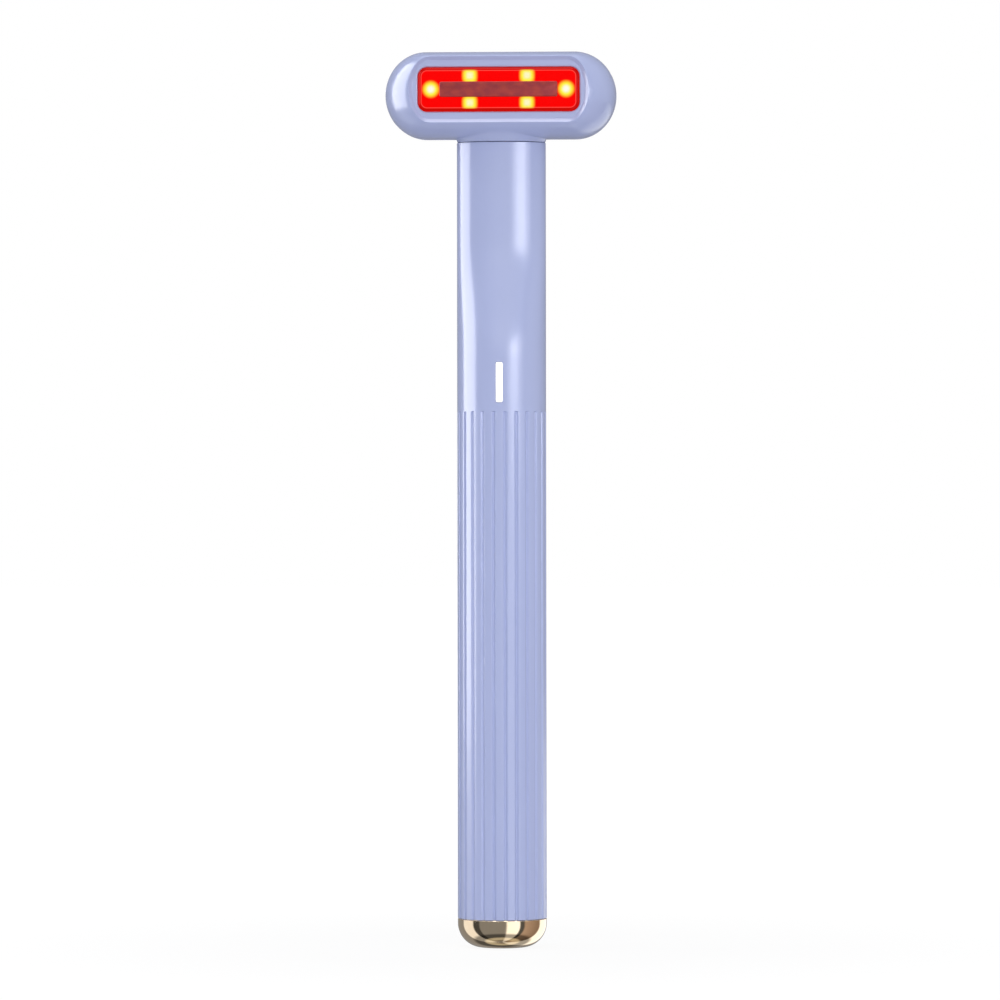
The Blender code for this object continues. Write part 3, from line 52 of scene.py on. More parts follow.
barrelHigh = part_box("handle_shell")[1]
frontLow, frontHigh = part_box("head_front_shell")
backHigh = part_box("head_back_shell")[1]
windowLow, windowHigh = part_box("light_window")
plateLow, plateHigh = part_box("contact_plate")
keyLow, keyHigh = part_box("power_button")
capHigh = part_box("base_cap")[1]
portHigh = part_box("charge_port")[1]
windowCentreZ = (windowLow.z + windowHigh.z) / 2
keyCentreZ = (keyLow.z + keyHigh.z) / 2
cutSpare = 0.001  # how far a cutting shape stands out of what it cuts
sharpFrom = 40  # degrees from which an edge stays sharp


# Small helpers for meshes
def evenly(start, end, steps):
    return [start + (end - start) * i / steps for i in range(steps + 1)]


def arcPoints(centreU, centreV, radiusU, radiusV, start, end, steps):
    angles = [math.radians(degrees) for degrees in evenly(start, end, steps)]
    return [(centreU + radiusU * math.cos(a), centreV + radiusV * math.sin(a)) for a in angles]


def circle(centreU, centreV, radius, steps):
    return arcPoints(centreU, centreV, radius, radius, 0, 360, steps)[:-1]


def roundedEdge(edge, front, steps):
    # Pairs of growth and place, from a front face round to its side
    return arcPoints(-edge, front + edge, edge, edge, -90, 0, steps)


def addObject(name, mesh):
    made = bpy.data.objects.new(name, mesh)
    bpy.context.scene.collection.objects.link(made)
    return made


def smoothed(mesh, sharpDegrees):
    mesh.shade_smooth()
    mesh.set_sharp_from_angle(angle=math.radians(sharpDegrees))


def shaped(name, bm, sharpDegrees):
    bmesh.ops.recalc_face_normals(bm, faces=bm.faces)
    mesh = bpy.data.meshes.new(name)
    bm.to_mesh(mesh)
    bm.free()
    smoothed(mesh, sharpDegrees)
    return addObject(name, mesh)


def fromRings(name, rings, closed=False, sharpDegrees=sharpFrom):
    # Joins rings of equally many points, and caps the ends or joins them to each other
    count = len(rings[0])
    bm = bmesh.new()
    rows = [[bm.verts.new(point) for point in ring] for ring in rings]
    pairs = list(zip(rows, rows[1:]))
    if closed:
        pairs.append((rows[-1], rows[0]))
    else:
        bm.faces.new(rows[0])
        bm.faces.new(rows[-1])
    for near, far in pairs:
        for i in range(count):
            after = (i + 1) % count
            bm.faces.new((near[i], near[after], far[after], far[i]))
    return shaped(name, bm, sharpDegrees)


def turned(name, profile, steps):
    # Turns (radius, height) pairs about Z; a radius of zero closes on the axis
    bm = bmesh.new()
    rows = []
    for radius, height in profile:
        if radius == 0:
            rows.append([bm.verts.new((0, 0, height))] * steps)
        else:
            rows.append([bm.verts.new((x, y, height)) for x, y in circle(0, 0, radius, steps)])
    for near, far in zip(rows, rows[1:]):
        for i in range(steps):
            after = (i + 1) % steps
            corners = []
            for vert in (near[i], near[after], far[after], far[i]):
                if vert not in corners:
                    corners.append(vert)
            bm.faces.new(corners)
    return shaped(name, bm, sharpFrom)


def baked(piece):
    # Turns what the modifiers make into a plain mesh
    graph = bpy.context.evaluated_depsgraph_get()
    mesh = bpy.data.meshes.new_from_object(piece.evaluated_get(graph))
    spent = piece.data
    piece.modifiers.clear()
    piece.data = mesh
    mesh.name = piece.name
    bpy.data.meshes.remove(spent)


def combined(piece, operation, other, sharpDegrees=sharpFrom):
    # Applies a Boolean at once and drops the other mesh
    step = piece.modifiers.new("join", "BOOLEAN")
    step.object = other
    step.operation = operation
    step.solver = "EXACT"
    baked(piece)
    spent = other.data
    bpy.data.objects.remove(other)
    bpy.data.meshes.remove(spent)
    smoothed(piece.data, sharpDegrees)


# Small helpers for node trees
def addNode(tree, kind, inputs=None, **settings):
    made = tree.nodes.new(kind)
    for key, value in settings.items():
        setattr(made, key, value)
    for key, value in (inputs or {}).items():
        if isinstance(value, bpy.types.NodeSocket):
            tree.links.new(value, made.inputs[key])
        else:
            made.inputs[key].default_value = value
    return made


def calc(tree, operation, *values):
    return addNode(tree, "ShaderNodeMath", dict(enumerate(values)), operation=operation).outputs[0]


def ranged(tree, value, low, high, toLow, toHigh, curve="LINEAR"):
    inputs = {"Value": value, "From Min": low, "From Max": high, "To Min": toLow, "To Max": toHigh}
    return addNode(tree, "ShaderNodeMapRange", inputs, interpolation_type=curve).outputs["Result"]


# Finishes
def shown(red, green, blue):
    # A colour as it looks, as the shader's linear values
    shares = [channel / 255 for channel in (red, green, blue)]
    return (*[s / 12.92 if s <= 0.04045 else ((s + 0.055) / 1.055) ** 2.4 for s in shares], 1)


def newFinish(name):
    material = bpy.data.materials.new(name)
    material.use_nodes = True
    tree = material.node_tree
    return material, tree, tree.nodes["Principled BSDF"]


def placed(tree, stretch=(1, 1, 1)):
    # Object coordinates, stretched where a grain runs one way
    where = addNode(tree, "ShaderNodeTexCoord").outputs["Object"]
    return addNode(tree, "ShaderNodeMapping", {"Vector": where, "Scale": stretch}).outputs["Vector"]


def noise(tree, place, scale, detail=3.0):
    inputs = {"Vector": place, "Scale": scale, "Detail": detail}
    return addNode(tree, "ShaderNodeTexNoise", inputs).outputs["Fac"]


def varied(tree, place, scale, low, high):
    # A value that wanders between two others; the noise itself keeps between about 0.3 and 0.7
    return ranged(tree, noise(tree, place, scale), 0.3, 0.7, low, high)


def blendColour(tree, share, first, second):
    inputs = {"Factor": share, 6: first, 7: second}
    return addNode(tree, "ShaderNodeMix", inputs, data_type="RGBA").outputs[2]


def addBump(tree, shader, height, look):
    bump = {"Height": height, "Strength": look["bump"], "Distance": look["depth"]}
    tree.links.new(addNode(tree, "ShaderNodeBump", bump).outputs["Normal"], shader.inputs["Normal"])


# What a finish has unless its own values say otherwise
plainLook = {
    "stretch": (1, 1, 1), "mottle": 180, "spread": 0.5, "wear": 420, "grain": 9000, "grainDetail": 2.0,
    "bump": 0.06, "depth": 0.00003, "metallic": 0, "specular": 0.5, "coat": 0, "coatRoughness": 0.1,
}


def grainFinish(name, ownLook):
    # A colour with slow mottling, a roughness that varies and a fine raised grain
    look = {**plainLook, **ownLook}
    material, tree, shader = newFinish(name)
    place = placed(tree, look["stretch"])
    mottle = ranged(tree, noise(tree, place, look["mottle"]), 0.35, 0.65, 0, look["spread"])
    colour = blendColour(tree, mottle, shown(*look["colour"]), shown(*look["second"]))
    tree.links.new(colour, shader.inputs["Base Color"])
    tree.links.new(varied(tree, place, look["wear"], *look["roughness"]), shader.inputs["Roughness"])
    addBump(tree, shader, noise(tree, place, look["grain"], look["grainDetail"]), look)
    shader.inputs["Metallic"].default_value = look["metallic"]
    shader.inputs["Specular IOR Level"].default_value = look["specular"]
    shader.inputs["Coat Weight"].default_value = look["coat"]
    shader.inputs["Coat Roughness"].default_value = look["coatRoughness"]
    return material


looks = {
    "casing": {
        "colour": (177, 187, 228), "second": (174, 184, 225), "roughness": (0.18, 0.21), "mottle": 60,
        "grain": 12000, "bump": 0.03, "depth": 0.000004,
    },
    "cap_metal": {
        "colour": (238, 219, 192), "second": (231, 209, 178), "roughness": (0.06, 0.1), "metallic": 1,
        "mottle": 300, "grain": 6000, "bump": 0.02, "depth": 0.00001,
    },
    # The contact bar's mauve red is partly its metal's own tone and partly the window's red light painted in
    "contact_metal": {
        "colour": (172, 66, 62), "second": (146, 54, 64), "roughness": (0.42, 0.56), "metallic": 0.6,
        "mottle": 900, "spread": 0.8, "grain": 9000, "bump": 0.1, "stretch": (0.7, 1, 1),
    },
    "seal": {"colour": (28, 28, 30), "second": (38, 38, 40), "roughness": (0.6, 0.8), "specular": 0.3},
    "steel": {
        "colour": (196, 198, 203), "second": (176, 178, 184), "roughness": (0.2, 0.34), "metallic": 1,
        "stretch": (0.2, 1, 1), "wear": 900,
    },
    "brass": {
        "colour": (208, 172, 98), "second": (186, 148, 80), "roughness": (0.22, 0.36), "metallic": 1,
        "stretch": (1, 1, 4),
    },
    "black_plastic": {
        "colour": (32, 32, 35), "second": (42, 42, 45), "roughness": (0.38, 0.55), "bump": 0.2,
    },
    "white_plastic": {"colour": (226, 226, 220), "second": (214, 213, 205), "roughness": (0.4, 0.55)},
    "battery_film": {
        "colour": (46, 92, 160), "second": (38, 80, 146), "roughness": (0.22, 0.4), "mottle": 240,
        "coat": 0.4,
    },
    "capacitor": {
        "colour": (178, 144, 106), "second": (160, 126, 90), "roughness": (0.4, 0.6), "mottle": 1500,
    },
    "lamp": {"colour": (250, 236, 190), "second": (244, 222, 150), "roughness": (0.2, 0.35), "mottle": 1200},
    "lead": {
        "colour": (38, 38, 42), "second": (50, 50, 54), "roughness": (0.45, 0.6), "stretch": (1, 1, 0.3),
    },
}
finishes = {name: grainFinish(name.replace("_", " "), look) for name, look in looks.items()}

boardLook = {
    "mask": (18, 88, 50), "maskLight": (26, 104, 60), "track": (70, 140, 84), "scale": 420.0,
    "trackShare": 0.06, "wear": 900, "roughness": (0.35, 0.5), "bump": 0.3, "depth": 0.00002,
}


def boardFinish():
    # Solder mask over copper tracks that run both ways
    look = boardLook
    material, tree, shader = newFinish("circuit board")
    place = placed(tree)
    tracks = addNode(tree, "ShaderNodeTexBrick", {
        "Vector": place, "Scale": look["scale"], "Mortar Size": look["trackShare"],
        "Color1": shown(*look["mask"]), "Color2": shown(*look["maskLight"]), "Mortar": shown(*look["track"]),
    })
    tree.links.new(tracks.outputs["Color"], shader.inputs["Base Color"])
    tree.links.new(varied(tree, place, look["wear"], *look["roughness"]), shader.inputs["Roughness"])
    addBump(tree, shader, tracks.outputs["Fac"], look)
    return material


windingLook = {
    "between": (128, 66, 38), "wire": (196, 122, 80), "turns": 900.0, "waver": 0.6, "roughness": (0.5, 0.25),
    "bump": 0.5, "depth": 0.00005, "metallic": 0.9,
}


def windingFinish():
    # Turns of enamelled copper wire
    look = windingLook
    material, tree, shader = newFinish("copper winding")
    wave = {"Vector": placed(tree), "Scale": look["turns"], "Distortion": look["waver"]}
    turns = addNode(tree, "ShaderNodeTexWave", wave, bands_direction="Y").outputs["Fac"]
    colour = blendColour(tree, turns, shown(*look["between"]), shown(*look["wire"]))
    tree.links.new(colour, shader.inputs["Base Color"])
    tree.links.new(ranged(tree, turns, 0, 1, *look["roughness"]), shader.inputs["Roughness"])
    addBump(tree, shader, turns, look)
    shader.inputs["Metallic"].default_value = look["metallic"]
    return material


finishes["board"] = boardFinish()
finishes["coil"] = windingFinish()

# The red window: lamps glow through it, its bevelled rim is painted darker as shade, and a painted highlight
# runs just inside the rim
windowLook = {
    # rim: painted shade on the bevel; the pale line: a painted highlight along the bevel's inner edge
    "flange": 0.001, "corner": 0.0017, "red": (255, 0, 0), "rim": (198, 11, 5), "paintedHighlight": (255, 128, 116),
    "glow": (255, 244, 66), "core": (255, 254, 240), "body": (40, 0, 0), "specular": 0.06,
    "glowStart": 0.0008, "glowEnd": 0.00165, "coreStart": 0.0002, "coreEnd": 0.00095,
    "shadedRimInset": 0.0005, "shadedRimBlur": 0.0001, "highlightInset": 0.00062, "highlightHalf": 0.00009, "highlightShare": 0.55,
    "grain": 2600, "strength": (0.94, 1.0), "wear": 700, "roughness": (0.12, 0.2),
    # Lamps: how far across and up, how square, how large, and how pale in the middle
    "lamps": ((0.00525, 0.0025, 3.2, 1, 0.62), (0.0124, 0, 2, 1.1, 1)),
}
lensHalfWidth = windowHigh.x - windowLook["flange"]
lensHalfHeight = (windowHigh.z - windowLow.z) / 2 - windowLook["flange"]


def difference(tree, first, second):
    # How far two values lie apart
    return calc(tree, "ABSOLUTE", calc(tree, "SUBTRACT", first, second))


def windowFinish():
    look = windowLook
    material, tree, shader = newFinish("lit window")
    where = addNode(tree, "ShaderNodeTexCoord").outputs["Object"]
    split = addNode(tree, "ShaderNodeSeparateXYZ", {"Vector": where}).outputs
    across, up = calc(tree, "ABSOLUTE", split["X"]), difference(tree, split["Z"], windowCentreZ)
    glow = core = 0.0
    for x, z, power, wide, pale in look["lamps"]:
        powers = [calc(tree, "POWER", difference(tree, *pair), power) for pair in ((across, x), (up, z))]
        distance = calc(tree, "POWER", calc(tree, "ADD", *powers), 1 / power)
        distance = calc(tree, "DIVIDE", distance, wide)
        near = ranged(tree, distance, look["glowStart"], look["glowEnd"], 1, 0, "SMOOTHSTEP")
        white = ranged(tree, distance, look["coreStart"], look["coreEnd"], pale, 0, "SMOOTHSTEP")
        glow, core = calc(tree, "MAXIMUM", glow, near), calc(tree, "MAXIMUM", core, white)

    # How far in from the edge of the round-cornered window
    corner, squares = look["corner"], []
    for value, half in ((across, lensHalfWidth), (up, lensHalfHeight)):
        beyond = calc(tree, "MAXIMUM", calc(tree, "SUBTRACT", value, half - corner), 0)
        squares.append(calc(tree, "MULTIPLY", beyond, beyond))
    edge = calc(tree, "SUBTRACT", corner, calc(tree, "SQRT", calc(tree, "ADD", *squares)))
    # Painted shade on the bevelled rim, and a painted highlight line just inside it
    rim = ranged(tree, edge, look["shadedRimInset"] - look["shadedRimBlur"], look["shadedRimInset"] + look["shadedRimBlur"], 1, 0)
    paintedHighlight = ranged(tree, difference(tree, edge, look["highlightInset"]), 0, look["highlightHalf"], look["highlightShare"], 0)
    colour = shown(*look["red"])
    for share, part in ((glow, "glow"), (core, "core"), (paintedHighlight, "paintedHighlight"), (rim, "rim")):
        colour = blendColour(tree, share, colour, shown(*look[part]))
    tree.links.new(colour, shader.inputs["Emission Color"])
    tree.links.new(varied(tree, where, look["grain"], *look["strength"]), shader.inputs["Emission Strength"])
    tree.links.new(varied(tree, where, look["wear"], *look["roughness"]), shader.inputs["Roughness"])
    shader.inputs["Base Color"].default_value = shown(*look["body"])
    shader.inputs["Specular IOR Level"].default_value = look["specular"]
    return material


# The lit key: its light fades from the front face to behind the wall
keyLight = {
    "dull": (236, 238, 250), "bright": (255, 255, 255), "light": (0.9, 0.92, 1, 1), "strength": 0.6,
    "fadeStart": 0.00015, "fadeEnd": 0.0006, "grain": 1500, "share": (0.9, 1.0), "wear": 900,
    "roughness": (0.35, 0.45),
}


def keyFinish():
    # Diffusing plastic lit from behind by two lamps
    look = keyLight
    material, tree, shader = newFinish("lit key")
    where = addNode(tree, "ShaderNodeTexCoord").outputs["Object"]
    share = varied(tree, where, look["grain"], *look["share"])
    colour = blendColour(tree, share, shown(*look["dull"]), shown(*look["bright"]))
    tree.links.new(colour, shader.inputs["Base Color"])
    depth = addNode(tree, "ShaderNodeSeparateXYZ", {"Vector": where}).outputs["Y"]
    lit = ranged(tree, depth, keyLow.y + look["fadeStart"], keyLow.y + look["fadeEnd"], look["strength"], 0)
    tree.links.new(calc(tree, "MULTIPLY", share, lit), shader.inputs["Emission Strength"])
    shader.inputs["Emission Color"].default_value = look["light"]
    tree.links.new(varied(tree, where, look["wear"], *look["roughness"]), shader.inputs["Roughness"])
    return material


finishes["window"] = windowFinish()
finishes["key"] = keyFinish()
print("finishes made:", len(finishes))

# Handle: a rule of nodes turns its profile into a fluted barrel with a scooped neck
handleLook = {
    "grooves": 24, "grooveDepth": 0.0003, "grooveFloorHalf": 0.00005, "grooveTopHalf": 0.00043,
    "grooveTop": 0.0988, "grooveEnd": 0.00008, "stepsPerGroove": 22, "wallSteps": 8, "ribStep": 0.4,
    "scoopStart": 0.1092, "scoopLength": 0.021, "scoopDepth": 0.0028, "bore": 0.0067, "neckBore": 0.00402,
    "counterbore": 0.00462, "counterboreDepth": 0.0008, "coneStart": 0.1117, "coneLength": 0.0035,
    "edge": 0.00006, "bottom": 0.0054, "top": 0.14834, "weld": 0.000004, "sharp": 38,
    # Rings: plain bands at the foot and beside the grooves' tops and the neck's, and steps between them
    "footBand": 0.002, "plainBand": 0.001, "gripSteps": 10, "shoulderSteps": 6, "scoopSteps": 44,
    "neckSteps": 6,
}


def handleRings():
    # Ring by ring: radius, whether the rule shapes it, and height, all round the wall's section
    look, radius = handleLook, barrelHigh.x
    bottom, top, edge, band = look["bottom"], look["top"], look["edge"], look["plainBand"]
    grooveTop, grooveFoot = look["grooveTop"], look["grooveTop"] - look["grooveEnd"]
    scoop, scoopEnd = look["scoopStart"], look["scoopStart"] + look["scoopLength"]
    heights = [bottom + edge, *evenly(bottom + look["footBand"], grooveTop - band, look["gripSteps"])]
    heights += [grooveFoot - edge, grooveFoot, grooveTop, grooveTop + edge]
    heights += evenly(grooveTop + band, scoop, look["shoulderSteps"])[:-1]
    heights += evenly(scoop, scoopEnd, look["scoopSteps"])
    heights += evenly(scoopEnd, top - band, look["neckSteps"])[1:]
    heights += [top - edge]
    seat = barrelHigh.z - look["counterboreDepth"]
    rings = [(look["bore"], 0, bottom), (radius - edge, 1, bottom)]
    rings += [(radius, 1, height) for height in heights]
    rings += [(radius - edge, 1, top), (look["counterbore"], 0, top)]
    rings += [(look["counterbore"], 0, seat), (look["neckBore"], 0, seat)]
    rings += [(look["neckBore"], 0, look["coneStart"] + look["coneLength"])]
    rings += [(look["bore"], 0, look["coneStart"]), (look["bore"], 0, bottom)]
    return rings


def handleTree():
    tree = bpy.data.node_groups.new("fluted barrel", "GeometryNodeTree")
    tree.interface.new_socket(name="Geometry", in_out="OUTPUT", socket_type="NodeSocketGeometry")
    tree.interface.new_socket(name="Profile", in_out="INPUT", socket_type="NodeSocketGeometry")
    for name in ("Radius", "Grooves", "Steps", "Groove Depth", "Floor Half", "Top Half", "Groove Top",
                 "Groove End", "Scoop Start", "Scoop End", "Scoop Depth"):
        tree.interface.new_socket(name=name, in_out="INPUT", socket_type="NodeSocketFloat")
    tree.interface.new_socket(name="Finish", in_out="INPUT", socket_type="NodeSocketMaterial")
    given = addNode(tree, "NodeGroupInput").outputs
    size = addNode(tree, "GeometryNodeAttributeDomainSize", {"Geometry": given["Profile"]})
    ringCount = size.outputs["Point Count"]
    around = calc(tree, "ADD", calc(tree, "MULTIPLY", given["Grooves"], given["Steps"]), 1)
    sheet = {"Size X": 1.0, "Size Y": 1.0, "Vertices X": around, "Vertices Y": ringCount}
    grid = addNode(tree, "GeometryNodeMeshGrid", sheet).outputs["Mesh"]
    place = addNode(tree, "GeometryNodeInputPosition").outputs[0]
    split = addNode(tree, "ShaderNodeSeparateXYZ", {"Vector": place}).outputs
    ring = calc(tree, "MULTIPLY", calc(tree, "ADD", split["Y"], 0.5), calc(tree, "SUBTRACT", ringCount, 1))
    sample = {"Geometry": given["Profile"], "Value": place, "Index": calc(tree, "ROUND", ring)}
    profile = addNode(tree, "GeometryNodeSampleIndex", sample, data_type="FLOAT_VECTOR", domain="POINT")
    part = addNode(tree, "ShaderNodeSeparateXYZ", {"Vector": profile.outputs["Value"]}).outputs

    # The steps round the barrel crowd at the edges of each groove
    pitch = calc(tree, "MULTIPLY", calc(tree, "ADD", split["X"], 0.5), given["Grooves"])
    whole = calc(tree, "FLOOR", calc(tree, "ADD", pitch, 0.0001))  # a hair more, so that none rounds down
    offset = calc(tree, "SUBTRACT", calc(tree, "SUBTRACT", pitch, whole), 0.5)
    fromMiddle = calc(tree, "MULTIPLY", calc(tree, "ABSOLUTE", offset), 2)
    crowd = addNode(tree, "ShaderNodeFloatCurve", {"Value": fromMiddle})
    curve = crowd.mapping.curves[0]
    for i, (share, reach) in enumerate(ribPlaces()):
        point = curve.points[i] if i < 2 else curve.points.new(share, reach)
        point.location = (share, reach)
    for point in curve.points:
        point.handle_type = "VECTOR"
    crowd.mapping.update()
    reach = crowd.outputs["Value"]
    turn = calc(tree, "MULTIPLY", calc(tree, "MULTIPLY", calc(tree, "SIGN", offset), reach), 0.5)
    turn = calc(tree, "ADD", calc(tree, "ADD", whole, 0.5), turn)
    angle = calc(tree, "DIVIDE", calc(tree, "MULTIPLY", turn, 2 * math.pi), given["Grooves"])
    halfPitch = calc(tree, "DIVIDE", calc(tree, "MULTIPLY", given["Radius"], math.pi), given["Grooves"])
    away = calc(tree, "MULTIPLY", reach, halfPitch)
    floorHalf, topHalf, full = given["Floor Half"], given["Top Half"], given["Groove Depth"]
    groove = ranged(tree, away, floorHalf, topHalf, full, 0, "SMOOTHSTEP")
    grooveFoot = calc(tree, "SUBTRACT", given["Groove Top"], given["Groove End"])
    groove = calc(tree, "MULTIPLY", groove, ranged(tree, part["Z"], grooveFoot, given["Groove Top"], 1, 0))

    # In front the section flattens from a circle to a half ellipse up the scoop
    sine, cosine = calc(tree, "SINE", angle), calc(tree, "COSINE", angle)
    depth = ranged(tree, part["Z"], given["Scoop Start"], given["Scoop End"], 0, 1, "SMOOTHSTEP")
    front = calc(tree, "SUBTRACT", given["Radius"], calc(tree, "MULTIPLY", depth, given["Scoop Depth"]))
    across = calc(tree, "POWER", calc(tree, "MULTIPLY", front, sine), 2)
    along = calc(tree, "POWER", calc(tree, "MULTIPLY", given["Radius"], cosine), 2)
    oval = calc(tree, "DIVIDE", calc(tree, "MULTIPLY", front, given["Radius"]),
                calc(tree, "SQRT", calc(tree, "ADD", across, along)))
    facing = calc(tree, "GREATER_THAN", cosine, 0)
    shaved = calc(tree, "MULTIPLY", calc(tree, "SUBTRACT", oval, given["Radius"]), facing)
    change = calc(tree, "SUBTRACT", shaved, groove)
    radius = calc(tree, "ADD", part["X"], calc(tree, "MULTIPLY", change, part["Y"]))
    x = calc(tree, "MULTIPLY", radius, sine)
    y = calc(tree, "MULTIPLY", calc(tree, "MULTIPLY", radius, cosine), -1)
    to = addNode(tree, "ShaderNodeCombineXYZ", {"X": x, "Y": y, "Z": part["Z"]}).outputs[0]
    moved = addNode(tree, "GeometryNodeSetPosition", {"Geometry": grid, "Position": to}).outputs[0]
    weld = {"Geometry": moved, "Distance": handleLook["weld"]}
    merged = addNode(tree, "GeometryNodeMergeByDistance", weld).outputs[0]
    real = addNode(tree, "GeometryNodeRealizeInstances", {"Geometry": merged}).outputs[0]
    dressed = {"Geometry": real, "Material": given["Finish"]}
    done = addNode(tree, "GeometryNodeSetMaterial", dressed).outputs[0]
    addNode(tree, "NodeGroupOutput", {"Geometry": done})
    return tree


def ribPlaces():
    # From a groove's middle to a rib's: share of the steps, and share of half the pitch
    look = handleLook
    halfPitch = math.pi * barrelHigh.x / look["grooves"]
    floor, top = look["grooveFloorHalf"] / halfPitch, look["grooveTopHalf"] / halfPitch
    reaches = [0] + evenly(floor, top, look["wallSteps"]) + [top + (1 - top) * look["ribStep"], 1]
    last = len(reaches) - 1
    return [(i / last, reach) for i, reach in enumerate(reaches)]


# Lit power key: a bar with rounded edges on a broad foot behind the wall, in a slot a little wider
keyLook = {
    "halfWidth": 0.000645, "halfHeight": 0.00368, "corner": 0.00036, "slot": 0.00006, "edge": 0.00012,
    "footDepth": 0.0006, "footGrow": 0.0009, "cornerSteps": 8, "edgeSteps": 4,
}


def keyRing(grow, y):
    # An upright rectangle with round corners, facing the front
    look = keyLook
    halfWidth, halfHeight, corner = [look[key] + grow for key in ("halfWidth", "halfHeight", "corner")]
    u, v, points = halfWidth - corner, halfHeight - corner, []
    for centreU, centreV, start in ((u, v, 0), (-u, v, 90), (-u, -v, 180), (u, -v, 270)):
        points += arcPoints(centreU, centreV, corner, corner, start, start + 90, look["cornerSteps"])
    return [(u, y, keyCentreZ + v) for u, v in points]


def makeHandle():
    look = handleLook
    mesh = bpy.data.meshes.new("barrel profile")
    mesh.from_pydata(handleRings(), [], [])
    shell = addObject("handle_casing", mesh)
    tree = handleTree()
    rule = shell.modifiers.new("fluting", "NODES")
    rule.node_group = tree
    values = {
        "Radius": barrelHigh.x, "Grooves": float(look["grooves"]), "Steps": float(look["stepsPerGroove"]),
        "Groove Depth": look["grooveDepth"], "Floor Half": look["grooveFloorHalf"],
        "Top Half": look["grooveTopHalf"], "Groove Top": look["grooveTop"], "Groove End": look["grooveEnd"],
        "Scoop Start": look["scoopStart"], "Scoop End": look["scoopStart"] + look["scoopLength"],
        "Scoop Depth": look["scoopDepth"], "Finish": finishes["casing"],
    }
    for socket in tree.interface.items_tree:
        if socket.in_out == "INPUT" and socket.name in values:
            rule[socket.identifier] = values[socket.name]
    baked(shell)
    bm = bmesh.new()
    bm.from_mesh(shell.data)
    bmesh.ops.recalc_face_normals(bm, faces=bm.faces)
    bm.to_mesh(shell.data)
    bm.free()
    front, back = -barrelHigh.x - cutSpare, -look["bore"] + cutSpare
    slot = fromRings("key slot", [keyRing(keyLook["slot"], y) for y in (front, back)])
    combined(shell, "DIFFERENCE", slot, look["sharp"])
    shell.data.materials.clear()
    shell.data.materials.append(finishes["casing"])
    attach(shell, "handle")
    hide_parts("handle_shell")
    print("handle made:", len(shell.data.polygons), "faces")


def makeKey():
    look = keyLook
    footY, footGrow = keyHigh.y - look["footDepth"], look["footGrow"]
    levels = roundedEdge(look["edge"], keyLow.y, look["edgeSteps"])
    levels += [(0, footY), (footGrow, footY), (footGrow, keyHigh.y)]
    key = fromRings("power_key", [keyRing(grow, y) for grow, y in levels])
    key.data.materials.append(finishes["key"])
    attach(key, "button")
    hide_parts("power_button")


makeHandle()
makeKey()

# Gold cap: a turned cup with a polished round corner, and the socket's mouth through its foot
capLook = {
    "corner": 0.0045, "height": 0.00535, "floor": 0.0012, "spigot": 0.0064, "cavity": 0.0052, "lip": 0.00012,
    "sealTop": 0.00705, "sealBottom": 0.00615, "sealDepth": 0.0005, "steps": 160, "cornerSteps": 24,
    # Mouth: gap round the socket, rounded edge, its middle as a share of it, and the cut's height
    "mouthGap": 0.0003, "mouthEdge": 0.0003, "mouthMiddle": 0.3, "mouthCut": 0.003, "mouthSteps": 24,
}


def oblongFlat(halfWidth, halfDepth, z, steps):
    # An oblong lying flat, along X
    straight = halfWidth - halfDepth
    right = arcPoints(straight, 0, halfDepth, halfDepth, -90, 90, steps)
    left = arcPoints(-straight, 0, halfDepth, halfDepth, 90, 270, steps)
    return [(u, v, z) for u, v in right + left]


def makeCap():
    look = capLook
    radius, corner, height, lip = capHigh.x, look["corner"], look["height"], look["lip"]
    spigot, cavity = look["spigot"], look["cavity"]
    sealRadius = spigot - look["sealDepth"]
    profile = [(0, look["floor"]), (cavity, look["floor"]), (cavity, capHigh.z), (spigot, capHigh.z)]
    profile += [(spigot, look["sealTop"]), (sealRadius, look["sealTop"])]
    profile += [(sealRadius, look["sealBottom"]), (spigot, look["sealBottom"])]
    profile += [(spigot, height), (radius - lip, height), (radius, height - lip)]
    profile += arcPoints(radius - corner, corner, corner, corner, 0, -90, look["cornerSteps"])
    profile += [(0, 0)]
    cap = turned("gold_cap", profile, look["steps"])
    gap, edge, middle = look["mouthGap"], look["mouthEdge"], look["mouthEdge"] * look["mouthMiddle"]
    levels = [(-cutSpare, edge * 2), (0, edge), (middle, middle), (edge, 0), (look["mouthCut"], 0)]
    wide, deep, steps = portHigh.x + gap, portHigh.y + gap, look["mouthSteps"]
    mouth = fromRings("mouth", [oblongFlat(wide + grow, deep + grow, z, steps) for z, grow in levels])
    combined(cap, "DIFFERENCE", mouth)
    cap.data.materials.append(finishes["cap_metal"])
    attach(cap, "handle")
    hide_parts("base_cap")


makeCap()
print("key and cap made")

